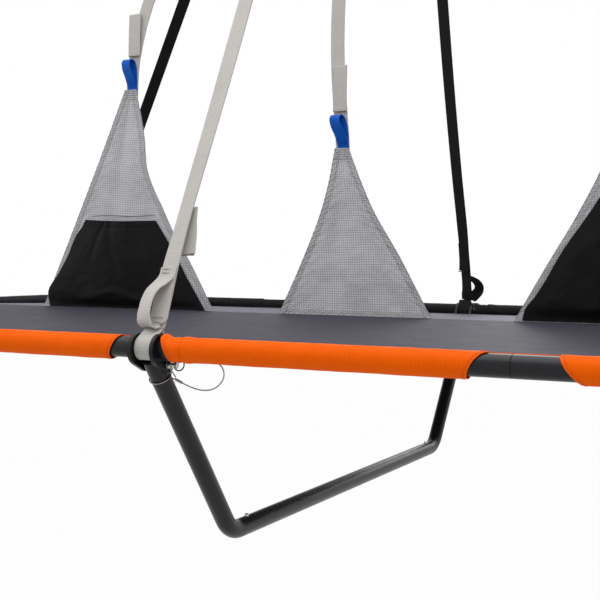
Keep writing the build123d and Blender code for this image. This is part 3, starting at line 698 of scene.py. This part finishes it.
def makeEndSleeve(word, xSide):
    reach = ledge["railY"] - ledge["bend"] - sleeve["bendMargin"]
    count = sleeve["endRows"]
    rows = []
    for j in range(count + 1):
        y = mix(-reach, reach, j / count)
        row = []
        for i in range(sleeve["around"] + 1):
            angle = 2 * math.pi * i / sleeve["around"]
            radius = sleeve["radius"] - sleeve["inset"]
            radius += sleeve["endSag"] * ripple(y / 60, math.cos(angle), xSide + math.sin(angle))
            radius += sleeve["endFineSag"] * ripple(y / 18, math.cos(angle) * 2,
                                                    xSide + 7 + math.sin(angle) * 2)
            x = xSide * ledge["endX"] + math.sin(angle) * radius
            row.append(at(x, y, -sleeve["drop"] + math.cos(angle) * radius))
        rows.append(row)
    piece = layGrid(f"{word}EndSleeve", rows, closed=True)
    finishCloth(piece, sleeve["thickness"] / 1000, offset=-1.0, round_=0.0003)
    dress(piece, "blackCloth", "ledge", [f"{word}_end_sleeve"])


makeEndSleeve("left", -1)
makeEndSleeve("right", 1)
print("sleeves made")


# bed cloth, stretched from rail to rail and lifted along the divider

bed = {"thickness": 1.2, "ridge": 12.6, "rearEdge": -7.0, "slack": 3.0, "corner": 68.0,
       "notchHalf": {-1: 21.0, 1: 13.5}, "notchDeep": {-1: 26.0, 1: 17.0},
       "columns": 300, "rowsEach": 60, "wrinkle": 0.9,
       "feet": (-651, -275, -139, 139, 275, 651), "span": 560, "fade": 130, "radial": 0.5}


def bedEdge(x, side):
    # distance of the bed's long edge from the middle, at x
    half = bed["notchHalf"][side]
    reach = math.sqrt((sleeve["radius"] + sleeve["clear"]) ** 2 - sleeve["drop"] ** 2)
    edge = ledge["railY"] - reach
    corner = abs(x) + edge
    limit = ledge["endX"] + ledge["railY"] - bed["corner"] * math.sqrt(2)
    if corner > limit:
        edge = limit - abs(x)
    if abs(x) < half + 9:
        edge = mix(ledge["railY"] - bed["notchDeep"][side], edge, ease((abs(x) - half) / 9))
    return edge


def bedHeight(x, share):
    # share runs from 0 at the ridge to 1 at the rear edge and -1 at the front one
    s = abs(share)
    chord = mix(bed["ridge"], bed["rearEdge"] if share > 0 else 0.0, s)
    sag = bed["slack"] * 4 * s * (1 - s) * 0.9
    z = chord - sag + 0.4
    pull = bed["wrinkle"] * ripple(x / 140, share * 2.2, 1.5) * 4 * s * (1 - s)
    radial = 0.0
    for foot in bed["feet"]:
        angle = math.atan2(s * bed["span"], x - foot)
        fade = math.exp(-((x - foot) ** 2 + (s * bed["span"]) ** 2) / bed["fade"] ** 2)
        radial += bed["radial"] * math.sin(angle * 16) * fade * ease(s * 8)
    edgeWave = 0.35 * math.sin(x / 13) * hump(1 - s, 0.05) * ease((1 - s) * 60)
    return z + pull + radial + edgeWave


def makeBed():
    reach = ledge["endX"] - math.sqrt((sleeve["radius"] + sleeve["clear"]) ** 2 - sleeve["drop"] ** 2)
    xs = [mix(-reach, reach, i / bed["columns"]) for i in range(bed["columns"] + 1)]
    for half in bed["notchHalf"].values():
        xs += [-half - 4.5, -half, half, half + 4.5]
    xs = sorted(xs)
    rows = []
    count = bed["rowsEach"] * 2
    for j in range(count + 1):
        share = -1 + 2 * j / count
        row = []
        for x in xs:
            row.append(at(x, share * bedEdge(x, 1 if share > 0 else -1), bedHeight(x, share)))
        rows.append(row)
    piece = layGrid("bedSheet", rows)
    # painted light mask: 0 in front of the ridge and 1 from 6 mm behind it, lightening the rear half of the
    # bed
    store = piece.data.attributes.new("paintedLitRearHalf", "FLOAT", "POINT")
    paintedLitShares = [ease((v.co.y * 1000 + ledge["ringY"]) / 6) for v in piece.data.vertices]
    store.data.foreach_set("value", paintedLitShares)
    finishCloth(piece, bed["thickness"] / 1000, offset=0.0)
    dress(piece, "bedCloth", "ledge", ["bed"])


makeBed()


def hemStrip(name, side, x0, x1, finish, seed, tops=(14.0, 14.0), dip=9.0):
    # the sleeve cloth goes on behind the tube at each opening
    rows = []
    count = 30
    for j in range(count + 1):
        x = mix(x0, x1, j / count)
        top = mix(tops[0], tops[1], j / count) + dip * math.sin(math.pi * j / count) ** 0.7
        row = []
        for i in range(13):
            angle = math.radians(mix(top, 100, i / 12))
            radius = sleeve["radius"] - 0.6 + 0.35 * ripple(x / 20, i / 6, seed)
            y = side * (ledge["railY"] - math.sin(angle) * radius)
            row.append(at(x, y, -sleeve["drop"] + math.cos(angle) * radius))
        rows.append(row)
    piece = layGrid(name, rows)
    finishCloth(piece, 0.0010)
    dress(piece, finish)


for word, side, finish in (("front", -1, "orangeCloth"), ("rear", 1, "blackCloth")):
    hemStrip(f"{word}NotchHemRight", side, notchIn[1] - 2, notchOut[1] + 2, finish, 2)
    hemStrip(f"{word}NotchHemLeft", side, -notchOut[1] - 2, -notchIn[1] + 2, finish, 5)
    hemStrip(f"{word}BracketHemLeft", side, brackets[side][0][1], -15, finish, 8, (6.0, 40.0), 0.0)
print("bed made")


# divider panels, with folded hems and a reinforced apex

panels = {
    "left": dict(folds=[(-520, 3.2), (-440, -1.5), (-380, 2.4)],
                 left=[(-651, 0), (-607.5, 90), (-564.5, 180), (-512, 292), (-462.7, 402)],
                 right=[(-270, 0), (-322, 90), (-354.5, 139), (-382, 190), (-399, 221), (-411.7, 252),
                        (-419.2, 314), (-424.8, 346),
                        (-431.5, 373), (-437.2, 402)],
                 pocket=dict(left=[(-634, 0), (-638.5, 26), (-614.6, 61), (-593.2, 93), (-568.5, 139),
                                   (-558, 151), (-549, 164)],
                             right=[(-287, 0), (-305, 28), (-324, 56), (-343, 88), (-363, 119),
                                    (-378, 141), (-393, 161.5)],
                             depth=12.5, dip=2.0)),
    "right": dict(folds=[(380, 2.4), (470, -1.5), (540, 3.0)],
                  left=[(275.5, 0), (327, 90), (376, 174), (407, 238), (424, 310), (436.1, 402)],
                  right=[(651, 0), (607.5, 90), (564.5, 180), (512, 292), (462.7, 402)],
                  pocket=dict(left=[(289, 1), (294, 20), (306, 35), (352, 112), (401, 184), (406, 192)],
                              right=[(639, 1), (641, 27), (590, 108), (536, 192)], depth=14.0, dip=2.0)),
    "centre": dict(folds=[(-40, 2.6), (30, -1.5), (70, 2.2)],
                   left=[(-139, 0), (-96, 89), (-57.4, 184), (-46, 226), (-35.8, 280)],
                   right=[(139, 0), (84.5, 97), (31.2, 184), (11.8, 226), (-10.4, 280)], pocket=None),
}
panelCloth = {"thickness": 0.8, "hem": 11.0, "across": 130, "along": 170, "wave": 2.2, "pucker": 0.36}


def edgePoint(points, t):
    spot = through([Vector((x, 0, z)) for x, z in points], t)
    return spot.x, spot.z


def makePanel(word, plan):
    rows = []
    hems = []
    across = panelCloth["across"]
    along = panelCloth["along"]
    height = plan["left"][-1][1]
    apexX = (plan["left"][-1][0] + plan["right"][-1][0]) / 2
    for j in range(along + 1):
        t = j / along
        xl, zl = edgePoint(plan["left"], t)
        xr, zr = edgePoint(plan["right"], t)
        width = xr - xl
        row = []
        for i in range(across + 1):
            u = i / across
            x = mix(xl, xr, u)
            z = mix(zl, zr, u)
            edge = min(u, 1 - u) * width
            slack = ease(edge / 40) * ease(z / 60)
            y = panelCloth["wave"] * slack * ripple(x / 60, z / 120, len(word)) * 1.6
            y += 1.1 * slack * math.sin((x - (xl + xr) / 2) / 34 + z / 90)
            hemmed = 1.0 if edge < panelCloth["hem"] or z < 8 else 0.0
            slope = z - edge * 0.9
            gathers = math.sin(slope / 1.5 + 3 * ripple(z / 24, u)) + 0.4 * math.sin(slope / 4.7)
            y += hemmed * panelCloth["pucker"] * gathers
            drag = math.exp(-max(edge - panelCloth["hem"], 0) / 13) * (1 - hemmed)
            y += drag * 0.25 * math.sin(slope / 3.1 + 3 * ripple(z / 40, u, 2))
            for foot, depth in plan["folds"]:
                line = mix(foot, apexX, z / height)
                y += slack * depth * hump(x - line, 7 + 0.05 * (height - z))
            if z < 45 and edge > panelCloth["hem"]:
                y += 0.5 * ease(1 - z / 45) * math.sin(x / 7 + 4 * ripple(x / 30, 0, 5))
            if abs(edge - panelCloth["hem"]) < 2.5:
                y += 0.35
            y = max(-2.2, min(5.0, y))
            row.append(at(x, y, ledge["panelFoot"] + z))
            hems.append(3.2 if edge < 1.6 else hemmed)
        rows.append(row)
    piece = layGrid(f"{word}Panel", rows)
    store = piece.data.attributes.new("hem", "FLOAT", "POINT")
    store.data.foreach_set("value", hems)
    finishCloth(piece, panelCloth["thickness"] / 1000)
    dress(piece, "ripstopCloth", "ledge", [f"{word}_panel"])
    width = plan["right"][0][0] - plan["left"][0][0]
    for j in range(along):
        breadth = edgePoint(plan["right"], (j + 0.5) / along)[0] - edgePoint(plan["left"],
                                                                             (j + 0.5) / along)[0]
        rise = edgePoint(plan["left"], (j + 1) / along)[1] - edgePoint(plan["left"], j / along)[1]
    for part, points, way in (("L", plan["left"], 1), ("R", plan["right"], -1)):
        seam = []
        for k in range(17):
            x, z = edgePoint(points, k / 17)
            seam.append(at(x + way * panelCloth["hem"], -1.0, ledge["panelFoot"] + z))
        stitchLine(f"{word}PanelSeam{part}", seam, "greyThread", pitch=3.4, size=0.26, gap=0.3)
    for row in range(5):
        top = height - 3 - row * 3.8
        share = top / height
        xl, _ = edgePoint(plan["left"], share)
        xr, _ = edgePoint(plan["right"], share)
        stitchLine(f"{word}ApexTack{row}", [at(xl + 3, -1.2, ledge["panelFoot"] + top),
                                            at(xr - 3, -1.2, ledge["panelFoot"] + top)],
                   "darkThread", pitch=2.6, size=0.3, gap=0.2)


for word, plan in panels.items():
    makePanel(word, plan)


pocketCloth = {"across": 110, "along": 80, "thickness": 0.0007, "hem": 10.5, "hemThickness": 0.0008}


def makePocket(word, plan):
    # bellied pouch with soft folds from its top corners, sewn at the sides and foot
    rows = []
    across = pocketCloth["across"]
    along = pocketCloth["along"]
    for j in range(along + 1):
        t = j / along
        xl, zl = edgePoint(plan["left"], t)
        xr, zr = edgePoint(plan["right"], t)
        row = []
        for i in range(across + 1):
            u = i / across
            x = mix(xl, xr, u)
            z = mix(zl, zr, u)
            wide = math.sin(math.pi * u)
            belly = wide ** 0.75 * (0.36 + 0.64 * math.sin(math.pi * min(t * 0.92 + 0.06, 1.0)) ** 0.7)
            belly += 0.12 * wide * ease((t - 0.93) * 14)
            foot = ease(t / 0.10)
            fold = 0.9 * hump(u - 0.44 - 0.05 * math.sin(t * 5), 0.035) * ease((t - 0.25) * 4)
            fold += 0.7 * hump(u - 0.30 + 0.12 * (1 - t), 0.03) * ease((t - 0.45) * 5)
            fold += 0.8 * hump(u - 0.66 - 0.14 * (1 - t), 0.05) * ease((t - 0.1) * 3) * 0.8
            slump = 1.6 * hump(t - 0.13 - 0.04 * math.sin(u * 17), 0.045) * wide
            crumple = 1.2 * ripple(u * 5, t * 4, 3.3) + 0.5 * ripple(u * 13, t * 10, 8.1)
            lip = plan["dip"] * wide * ease((t - 0.9) * 10)
            out = (plan["depth"] * belly + 1.4 * crumple * belly - 2.2 * fold + slump) * foot
            out = max(0.7, min(plan["depth"] + 1.5, out))
            z -= lip
            row.append(at(x, -1.6 - out, ledge["panelFoot"] + z + 0.4))
        rows.append(row)
    piece = layGrid(f"{word}Pocket", rows)
    finishCloth(piece, pocketCloth["thickness"])
    dress(piece, "blackCloth", "ledge", [f"{word}_pocket"])
    height = plan["left"][-1][1]
    # folded hem along the mouth
    hemRows = []
    for j in range(6):
        drop = pocketCloth["hem"] * j / 5
        hemRows.append([])
        for i in range(across + 1):
            source = rows[along][i]
            below = rows[along - 6][i]
            way = (below - source).normalized()
            proud = Vector((0, -0.0007 - 0.0003 * math.sin(i * 0.9), 0))
            hemRows[-1].append(source + way * (drop / 1000) + proud)
    hem = layGrid(f"{word}PocketHem", hemRows)
    finishCloth(hem, pocketCloth["hemThickness"])
    dress(hem, "blackCloth")
    high = ledge["panelFoot"] + height + 7
    ends = [plan["left"][-1][0] + 12, plan["right"][-1][0] - 2]
    seam = [at(mix(ends[0], ends[1], k / 8), -1.1, high + 1.2 * math.sin(k * 0.9)) for k in range(9)]
    stitchLine(f"{word}PocketSeam", seam, "darkThread", pitch=4.5, size=0.5, gap=0.12)


for word in ("left", "right"):
    makePocket(word, panels[word]["pocket"])
print("divider made")


# webbing

webbing = {"thickness": 1.9, "fold": 260.0, "eyeWidth": 9.0, "eyeLength": 26.0, "acrossSteps": 8,
           "step": 9.0, "round": 0.0005}


def stepped(stations, reach):
    # a value read from (distance, value) stations
    for (a, low), (b, high) in zip(stations, stations[1:]):
        if reach < b:
            return mix(low, high, ease((reach - a) / (b - a)))
    return stations[-1][1]


def squareTo(run, across):
    run = run.normalized()
    return (across - run * across.dot(run)).normalized()


def eyeFrame(step, foot):
    turn = math.radians(step * ledge["eyeSpacing"])
    out = Vector((math.sin(turn), 0, -math.cos(turn)))
    tangent = Vector((math.cos(turn), 0, math.sin(turn)))
    centre = at(0, ledge["ringY"], ledge["ringZ"]) + out * (ledge["ringRadius"] / 1000)
    away = squareTo(tangent, (foot - centre))
    return centre, away, tangent


def strapRow(centre, run, across, width, folded):
    # one row across a strap; folded rolls its edges behind
    side = squareTo(run, across)
    back = side.cross(run.normalized())
    if back.y < 0:
        back = -back
    steps = webbing["acrossSteps"]
    row = []
    bend = folded * math.radians(300)
    for i in range(steps + 1):
        s = i / steps - 0.5
        if bend > 0.02:
            radius = width / bend
            behind = radius * (1 - math.cos(bend * s)) - folded * 0.003
            row.append(centre + side * (radius * math.sin(bend * s)) + back * behind)
        else:
            row.append(centre + side * (width * s))
    return row


def makeStrap(name, points, across, step, finish, nodes, turns=None):
    # points run from the foot upwards in metres; the last stretch goes to the eye on the ring
    centre, away, tangent = eyeFrame(step, points[-1])
    tip = centre + away * (webbing["eyeLength"] / 1000)
    path = list(points) + [tip]
    flip = tangent if across.dot(tangent) >= 0 else -tangent
    total = sum((b - a).length for a, b in zip(path, path[1:]))
    count = int(total * 1000 / webbing["step"])
    rows = []
    for j in range(count + 1):
        t = j / count
        spot = through(path, t)
        ahead = through(path, min(t + 0.5 / count, 1.0)) - through(path, max(t - 0.5 / count, 0.0))
        left = (1 - t) * total * 1000
        near = 1 - ease(left / webbing["fold"])
        side = (across * (1 - near) + flip * near).normalized()
        if turns:
            turned = stepped(turns, t * total * 1000) * (1 - near)
            side = Matrix.Rotation(math.radians(turned), 3, ahead.normalized()) @ side
        rows.append(strapRow(spot, ahead, side, ledge["strapWidth"] / 1000, near * 0.98))
    strap = layGrid(name, rows)
    finishCloth(strap, webbing["thickness"] / 1000, round_=webbing["round"], angle=45)
    eye = makeEye(name + "Eye", centre, away, tangent)
    whole = joinPieces(name, [strap, eye])
    dress(whole, finish, "ledge", nodes)
    return whole


def makeEye(name, centre, away, tangent):
    third = tangent.cross(away)
    radius = (ledge["ringBar"] + 0.5 + 1.1) / 1000
    length = (webbing["eyeLength"] - 0.5) / 1000
    start = math.acos(radius / length)
    points = [away * length + third * 0.0009]
    for k in range(25):
        angle = start + (2 * math.pi - 2 * start) * k / 24
        points.append(away * (radius * math.cos(angle)) + third * (radius * math.sin(angle)))
    points.append(away * length - third * 0.0009)
    rows = []
    for point in points:
        row = []
        for i in range(5):
            s = i / 4 - 0.5
            row.append(centre + point + tangent * (s * webbing["eyeWidth"] / 1000))
        rows.append(row)
    piece = layGrid(name, rows)
    finishCloth(piece, 0.0021, round_=0.0004, angle=45)
    return piece


def makeLoop(name, foot, up, across, tip, sagitta=0.0, outward=None):
    # webbing band that goes round a tube and comes together in a sewn neck
    third = up.cross(across)
    radius = (ledge["tube"] + 0.3 + 1.1) / 1000
    start = math.acos(radius / tip)
    points = [up * tip + third * 0.0010]
    for k in range(33):
        angle = start + (2 * math.pi - 2 * start) * k / 32
        points.append(up * (radius * math.cos(angle)) + third * (radius * math.sin(angle)))
    points.append(up * tip - third * 0.0010)
    rows = []
    for point in points:
        row = []
        for i in range(webbing["acrossSteps"] + 1):
            s = (i / webbing["acrossSteps"] - 0.5) * ledge["strapWidth"] / 1000
            spot = foot + point + across * s
            if outward:
                spot -= outward * (s * s / (2 * ledge["bend"] / 1000)) * sagitta
            row.append(spot)
        rows.append(row)
    piece = layGrid(name, rows)
    finishCloth(piece, webbing["thickness"] / 1000, round_=webbing["round"], angle=45)
    return piece


# grey webbing in front and black behind
webbingOf = {"front": dict(finish="greyWebbing", thread="greyThread", slot="grey_webbing"),
             "rear": dict(finish="blackWebbing", thread="blackThread", slot="black_webbing")}

cornerStraps = {"front_left": dict(x=-1, y=-1, step=-4), "rear_left": dict(x=-1, y=1, step=-3),
                "front_right": dict(x=1, y=-1, step=4), "rear_right": dict(x=1, y=1, step=3)}


def makeCornerStrap(word, plan):
    middle = at(plan["x"] * (ledge["endX"] - ledge["bend"]), plan["y"] * (ledge["railY"] - ledge["bend"]),
                0)
    heading = math.radians(45)  # the straps hold the middle of the corner bends
    out = Vector((plan["x"] * math.cos(heading), plan["y"] * math.sin(heading), 0))
    across = Vector((-out.y, out.x, 0))
    foot = middle + out * (ledge["bend"] / 1000)
    centre, away, tangent = eyeFrame(plan["step"], foot)
    up = (centre + away * (webbing["eyeLength"] / 1000) - foot).normalized()
    side = squareTo(up, across)
    band = makeLoop(f"{word}Band", foot, up, side, 0.026, 1.0, out)
    cloth = webbingOf["front" if plan["y"] < 0 else "rear"]
    strap = makeStrap(f"{word}Strap", [foot + up * 0.024], side, plan["step"], cloth["finish"],
                      [f"{word}_strap"])
    joinPieces(f"{word}Strap", [strap, band])


for word, plan in cornerStraps.items():
    makeCornerStrap(word, plan)


# a rounded end: where it starts on the piece, its share of it, the form and the least width
roundTail = {"start": 0.86, "share": 0.14, "power": 2.4, "least": 0.02}


def laid(name, stations, finish, width=25.0, thickness=1.9, steps=40, roundEnd=False, nodes=()):
    # short piece of webbing through given stations of place (mm), across direction and turn
    places = [at(*s[0]) for s in stations]
    sides = [Vector(s[1]).normalized() for s in stations]
    spans = [(b - a).length for a, b in zip(places, places[1:])]
    rows = []
    for j in range(steps + 1):
        t = j / steps
        spot = through(places, t)
        ahead = through(places, min(t + 0.01, 1.0)) - through(places, max(t - 0.01, 0.0))
        reach = t * sum(spans)
        k = 0
        while k < len(spans) - 1 and reach > spans[k]:
            reach -= spans[k]
            k += 1
        across = mix(sides[k], sides[k + 1], ease(reach / spans[k]))
        across = squareTo(ahead, across)
        half = width / 2000
        if roundEnd and t > roundTail["start"]:
            tail = (t - roundTail["start"]) / roundTail["share"]
            half *= math.sqrt(max(1 - tail ** roundTail["power"], roundTail["least"]))
        rows.append([spot + across * (half * (2 * i / 8 - 1)) for i in range(9)])
    piece = layGrid(name, rows)
    finishCloth(piece, thickness / 1000, round_=webbing["round"], angle=45)
    dress(piece, finish, "ledge", nodes)


def midFrame(side, step):
    foot = at(0, side * ledge["railY"], 0)
    centre, away, tangent = eyeFrame(step, foot)
    tip = centre + away * (webbing["eyeLength"] / 1000)
    up = Vector((0, tip.y - foot.y, tip.z - foot.z)).normalized()
    return foot, up


def onStrap(side, foot, up, along, x=0.0, out=0.0):
    # a place beside a middle strap: millimetres up it, sideways, and off it away from the bed
    away = Vector((0, up.z, -up.y)) * side
    return foot + up * (along / 1000) + away * (out / 1000) + Vector((x / 1000, 0, 0))


def back(spot):
    return (spot.x * 1000, spot.y * 1000 + ledge["ringY"], spot.z * 1000 + ledge["ringZ"])


# the loop's strand: distance up the strap, sideways, off the strap, and turn in degrees
midStraps = {
    "front": dict(shift=[(25, 1.0), (60, 0.5), (105, -2.0), (180, -2.5), (300, -1.0)],
                  turns=[(0, 0), (60, -6), (150, -16), (240, -14), (420, -9)],
                  loop=[(107, -2.2, 2.4, -9), (94, -2.2, 2.9, -9), (84, -6, 6, -14), (74, -10, 11, -22),
                        (60, -12, 14.5, -26),
                        (47.5, -11.3, 16, -26), (36, -10.5, 15.5, -22), (29, -9, 13, -16),
                        (25.5, -6, 8.5, -10),
                        (26.3, -3, 5.2, -4), (31, -1, 3.6, 0)],
                  tongue=[(106, -2, 2.2, -9), (70, 0.0, 2.4, -4), (45, 2.5, 2.5, 0), (28.5, 4, 2.8, 0)],
                  tail=[(192, 0, -2.3, -4), (176, 2, -3.4, 0), (158, 5.5, -5.6, 2), (129, 9.5, -8.2, 3)],
                  tacks=[(103.5, -2.2, 3.6, 9.0), (98, -2.2, 3.7, 9.0), (38, 2.8, 3.9, 7.0),
                         (31.5, 3.6, 4.1, 5.5)], burnt="burntEdge"),
    "rear": dict(shift=[(25, 5.0), (60, 7.0), (150, 7.0), (300, 4.0)],
                 turns=[(0, -10), (40, -28), (90, -26), (160, -17), (600, -14)],
                 loop=[(82, -6, 2.4, -26), (76, -8, 3.4, -26), (71, -15, 6, -26), (63, -25, 9, -26),
                       (53, -29.5, 12, -28),
                       (43, -28, 13, -26), (33, -20, 12, -18), (26, -11, 9, -10), (25.5, -7.5, 5.5, -6),
                       (31, -6, 3.6, -6)],
                 tongue=[(84, -6, 2.2, -26), (70, -6, 2.4, -26), (45, -5, 2.5, -24), (28.5, -3, 2.8, -12)],
                 tail=[(150, -7, -2.3, -18), (130, -6.5, -2.4, -20), (110, -5.5, -2.8, -24),
                       (89, -3.5, -3.4, -24)],
                 tacks=[(80, -6, 3.5, 9.0), (74, -6, 3.6, 9.0), (38, -4, 3.9, 7.0), (31.5, -4, 4.1, 5.5)],
                 burnt="blackThread"),
}


def makeMidStrap(word, side, step):
    cloth = webbingOf[word]
    finish = cloth["finish"]
    foot, up = midFrame(side, step)
    plan = midStraps[word]
    across = Vector((1, 0, 0))
    band = makeLoop(f"{word}Band", foot, up, across, 0.024)
    dress(band, finish)
    lower = [foot + up * (along / 1000) + Vector((x / 1000, 0, 0)) for along, x in plan["shift"]]
    makeStrap(f"{word}MidStrap", lower, across, step, finish, [f"{word}_mid_strap"], plan["turns"])

    def stations(part):
        found = []
        for along, x, out, turn in plan[part]:
            way = math.radians(turn)
            found.append((back(onStrap(side, foot, up, along, -side * x, out)),
                          (math.cos(way), math.sin(way), 0)))
        return found

    laid(f"{word}PullLoop", stations("loop"), finish, steps=60, nodes=[f"{word}_pull_loop"])
    laid(f"{word}Tongue", stations("tongue"), finish, steps=30, roundEnd=True)
    laid(f"{word}Tail", stations("tail"), finish, steps=30)
    along, x, out, turn = plan["tail"][-1]
    end = [onStrap(side, foot, up, along - 0.2, -side * (x + k * 1.2),
                   out + 0.05 * k) for k in (-10, -5, 0, 5, 10)]
    stitchLine(f"{word}TailEdge", end, plan["burnt"], pitch=3, size=0.9, gap=-0.1)
    for k, (along, x, out, span) in enumerate(plan["tacks"]):
        stitchLine(f"{word}Tack{k}", [onStrap(side, foot, up, along, -side * (x - span), out - 0.1),
                                      onStrap(side, foot, up, along, -side * (x + span), out + 0.1)],
                   cloth["thread"], pitch=2.4, size=0.5, gap=0.25)


makeMidStrap("front", -1, -1)
makeMidStrap("rear", 1, 1)
print("side straps made")


# divider straps and the blue loops in front of them

dividers = {
    "centre": dict(x=-23.0, top=293.7, step=0, bends=[(-9, 11, 440), (-12, 42, 720)], lean=-10.0,
                   shift=-9.0),
    "left": dict(x=-449.0, top=415.7, step=-2, bends=[(8, 6, 520), (60, 24, 680)], lean=-7.0, shift=0.0),
    "right": dict(x=449.0, top=415.7, step=2, bends=[(-8, 6, 520), (-60, 24, 680)], lean=-7.0, shift=0.0),
}


dividerDepth = 9.6  # how far behind the panels the straps run, in millimetres


def makeDivider(word, plan):
    tabY = dividerDepth
    top = plan["top"]
    x = plan["x"]
    shift = plan["shift"]
    points = [(x, 3.8, top - 12), (x, 4.2, top), (x + shift * 0.7, tabY, top + 50)]
    points += [(x + dx + shift, tabY + dy, z) for dx, dy, z in plan["bends"]]
    makeStrap(f"{word}DividerStrap", [at(*p) for p in points], Vector((1, 0, 0)), plan["step"],
              "greyWebbing",
              [f"{word}_divider_strap"])
    lap = [((x + shift + 1.5, tabY - 2.3, top + 62), (1, 0, 0)),
           ((x + shift, tabY + 0.6, top + 100), (1, 0, 0)),
           ((x + shift - 1, tabY + 4.0, top + 140), (1, 0, 0))]
    laid(f"{word}DividerLap", lap, "greyWebbing", width=25.0, steps=16)
    stitchLine(f"{word}LapEdge", [at(x + shift - 10.5, tabY - 3.2, top + 62),
                                  at(x + shift + 13.5, tabY - 3.2, top + 62)],
               "darkThread", pitch=3, size=0.6, gap=-0.1)
    lean = plan["lean"]
    tab = [
        ((x + 2, 1.9, top - 7), (1, 0, 0)),
        ((x + 2, 1.5, top + 3), (1, 0, 0)),
        ((x + 0.5, -2.2, top + 14), (1, -0.08, 0)),
        ((x + lean * 0.4, -5.4, top + 27), (1, -0.18, 0.05)),
        ((x + lean * 0.95, -7.4, top + 41), (1, -0.20, 0.05)),
        ((x + lean * 1.1, -5.9, top + 51), (1, -0.16, 0.03)),
        ((x + lean, -0.2, top + 55), (1, -0.05, 0)),
        ((x + lean * 0.8, 5.2, top + 51), (1, 0.04, 0)),
        ((x + lean * 0.4, 6.2, top + 40), (1, 0.05, 0)),
        ((x, 4.4, top + 24), (1, 0, 0)),
        ((x + 1.5, 2.7, top + 8), (1, 0, 0)),
        ((x + 2, 2.6, top - 7), (1, 0, 0)),
    ]
    laid(f"{word}LoopTab", tab, "blueWebbing", width=20.0, thickness=1.3, steps=96,
         nodes=[f"{word}_loop_tab"])


for word, plan in dividers.items():
    makeDivider(word, plan)
print("divider straps made")


# studio

studio = {"floor": -2400.0, "pale": rgb(244, 244, 245), "sky": 0.56,
          "lamps": [("topSoftbox", (-300, -500, 2700), (0, 0, 0), 3.2, 70),
                    ("leftSoftbox", (-2600, -1500, 900), (0, 0, 0), 2.2, 22),
                    ("rightFill", (2600, -1700, 500), (0, 0, -100), 2.0, 16),
                    ("rearSoftbox", (300, 2600, 1600), (0, 0, 200), 2.4, 44)]}


def seenDirectly(tree):
    # one where the camera, a reflection or a clear piece looks at it
    light = addNode(tree, "ShaderNodeLightPath", -900, 200)
    seen = calc(tree, "MAXIMUM", (light, "Is Camera Ray"), (light, "Is Glossy Ray"), None, -700, 200)
    return calc(tree, "MAXIMUM", seen, (light, "Is Transmission Ray"), None, -500, 200)


def makeStudio():
    deselect()
    bpy.ops.mesh.primitive_plane_add(size=60, location=at(0, 0, studio["floor"]))
    floor = bpy.context.object
    floor.name = "studioFloor"
    material, tree, shader = newMaterial("paleFloor", studio["pale"], 0.9)
    seen = seenDirectly(tree)
    glow = addNode(tree, "ShaderNodeEmission", -300, 400)
    glow.inputs["Color"].default_value = (1, 1, 1, 1)
    glow.inputs["Strength"].default_value = 1.0
    blendShader = addNode(tree, "ShaderNodeMixShader", 200, 200)
    soft = calc(tree, "MULTIPLY", seen, 0.97, None, -300, 200)
    tree.links.new(soft[0].outputs[0], blendShader.inputs["Fac"])
    tree.links.new(shader.outputs["BSDF"], blendShader.inputs[1])
    tree.links.new(glow.outputs["Emission"], blendShader.inputs[2])
    output = [n for n in tree.nodes if n.type == "OUTPUT_MATERIAL"][0]
    tree.links.new(blendShader.outputs["Shader"], output.inputs["Surface"])
    floor.data.materials.append(material)

    world = bpy.data.worlds.new("studioWorld")
    bpy.context.scene.world = world
    world.use_nodes = True
    tree = world.node_tree
    tree.nodes.clear()
    seen = seenDirectly(tree)
    white = addNode(tree, "ShaderNodeBackground", -200, 300)
    white.inputs["Strength"].default_value = 1.0
    white.inputs["Color"].default_value = (1, 1, 1, 1)
    soft = addNode(tree, "ShaderNodeBackground", -200, 100)
    soft.inputs["Color"].default_value = (1, 1, 1, 1)
    soft.inputs["Strength"].default_value = studio["sky"]
    blendShader = addNode(tree, "ShaderNodeMixShader", 100, 200)
    tree.links.new(seen[0].outputs[0], blendShader.inputs["Fac"])
    tree.links.new(soft.outputs["Background"], blendShader.inputs[1])
    tree.links.new(white.outputs["Background"], blendShader.inputs[2])
    output = addNode(tree, "ShaderNodeOutputWorld", 400, 200)
    tree.links.new(blendShader.outputs["Shader"], output.inputs["Surface"])

    for name, spot, aim, size, power in studio["lamps"]:
        deselect()
        bpy.ops.object.light_add(type="AREA", location=at(*spot))
        lamp = bpy.context.object
        lamp.name = name
        lamp.data.shape = "SQUARE"
        lamp.data.size = size
        lamp.data.energy = power
        lamp.rotation_euler = (at(*aim) - at(*spot)).to_track_quat("-Z", "Y").to_euler()
    bpy.context.scene.view_settings.view_transform = "Standard"


makeStudio()
print("studio made")
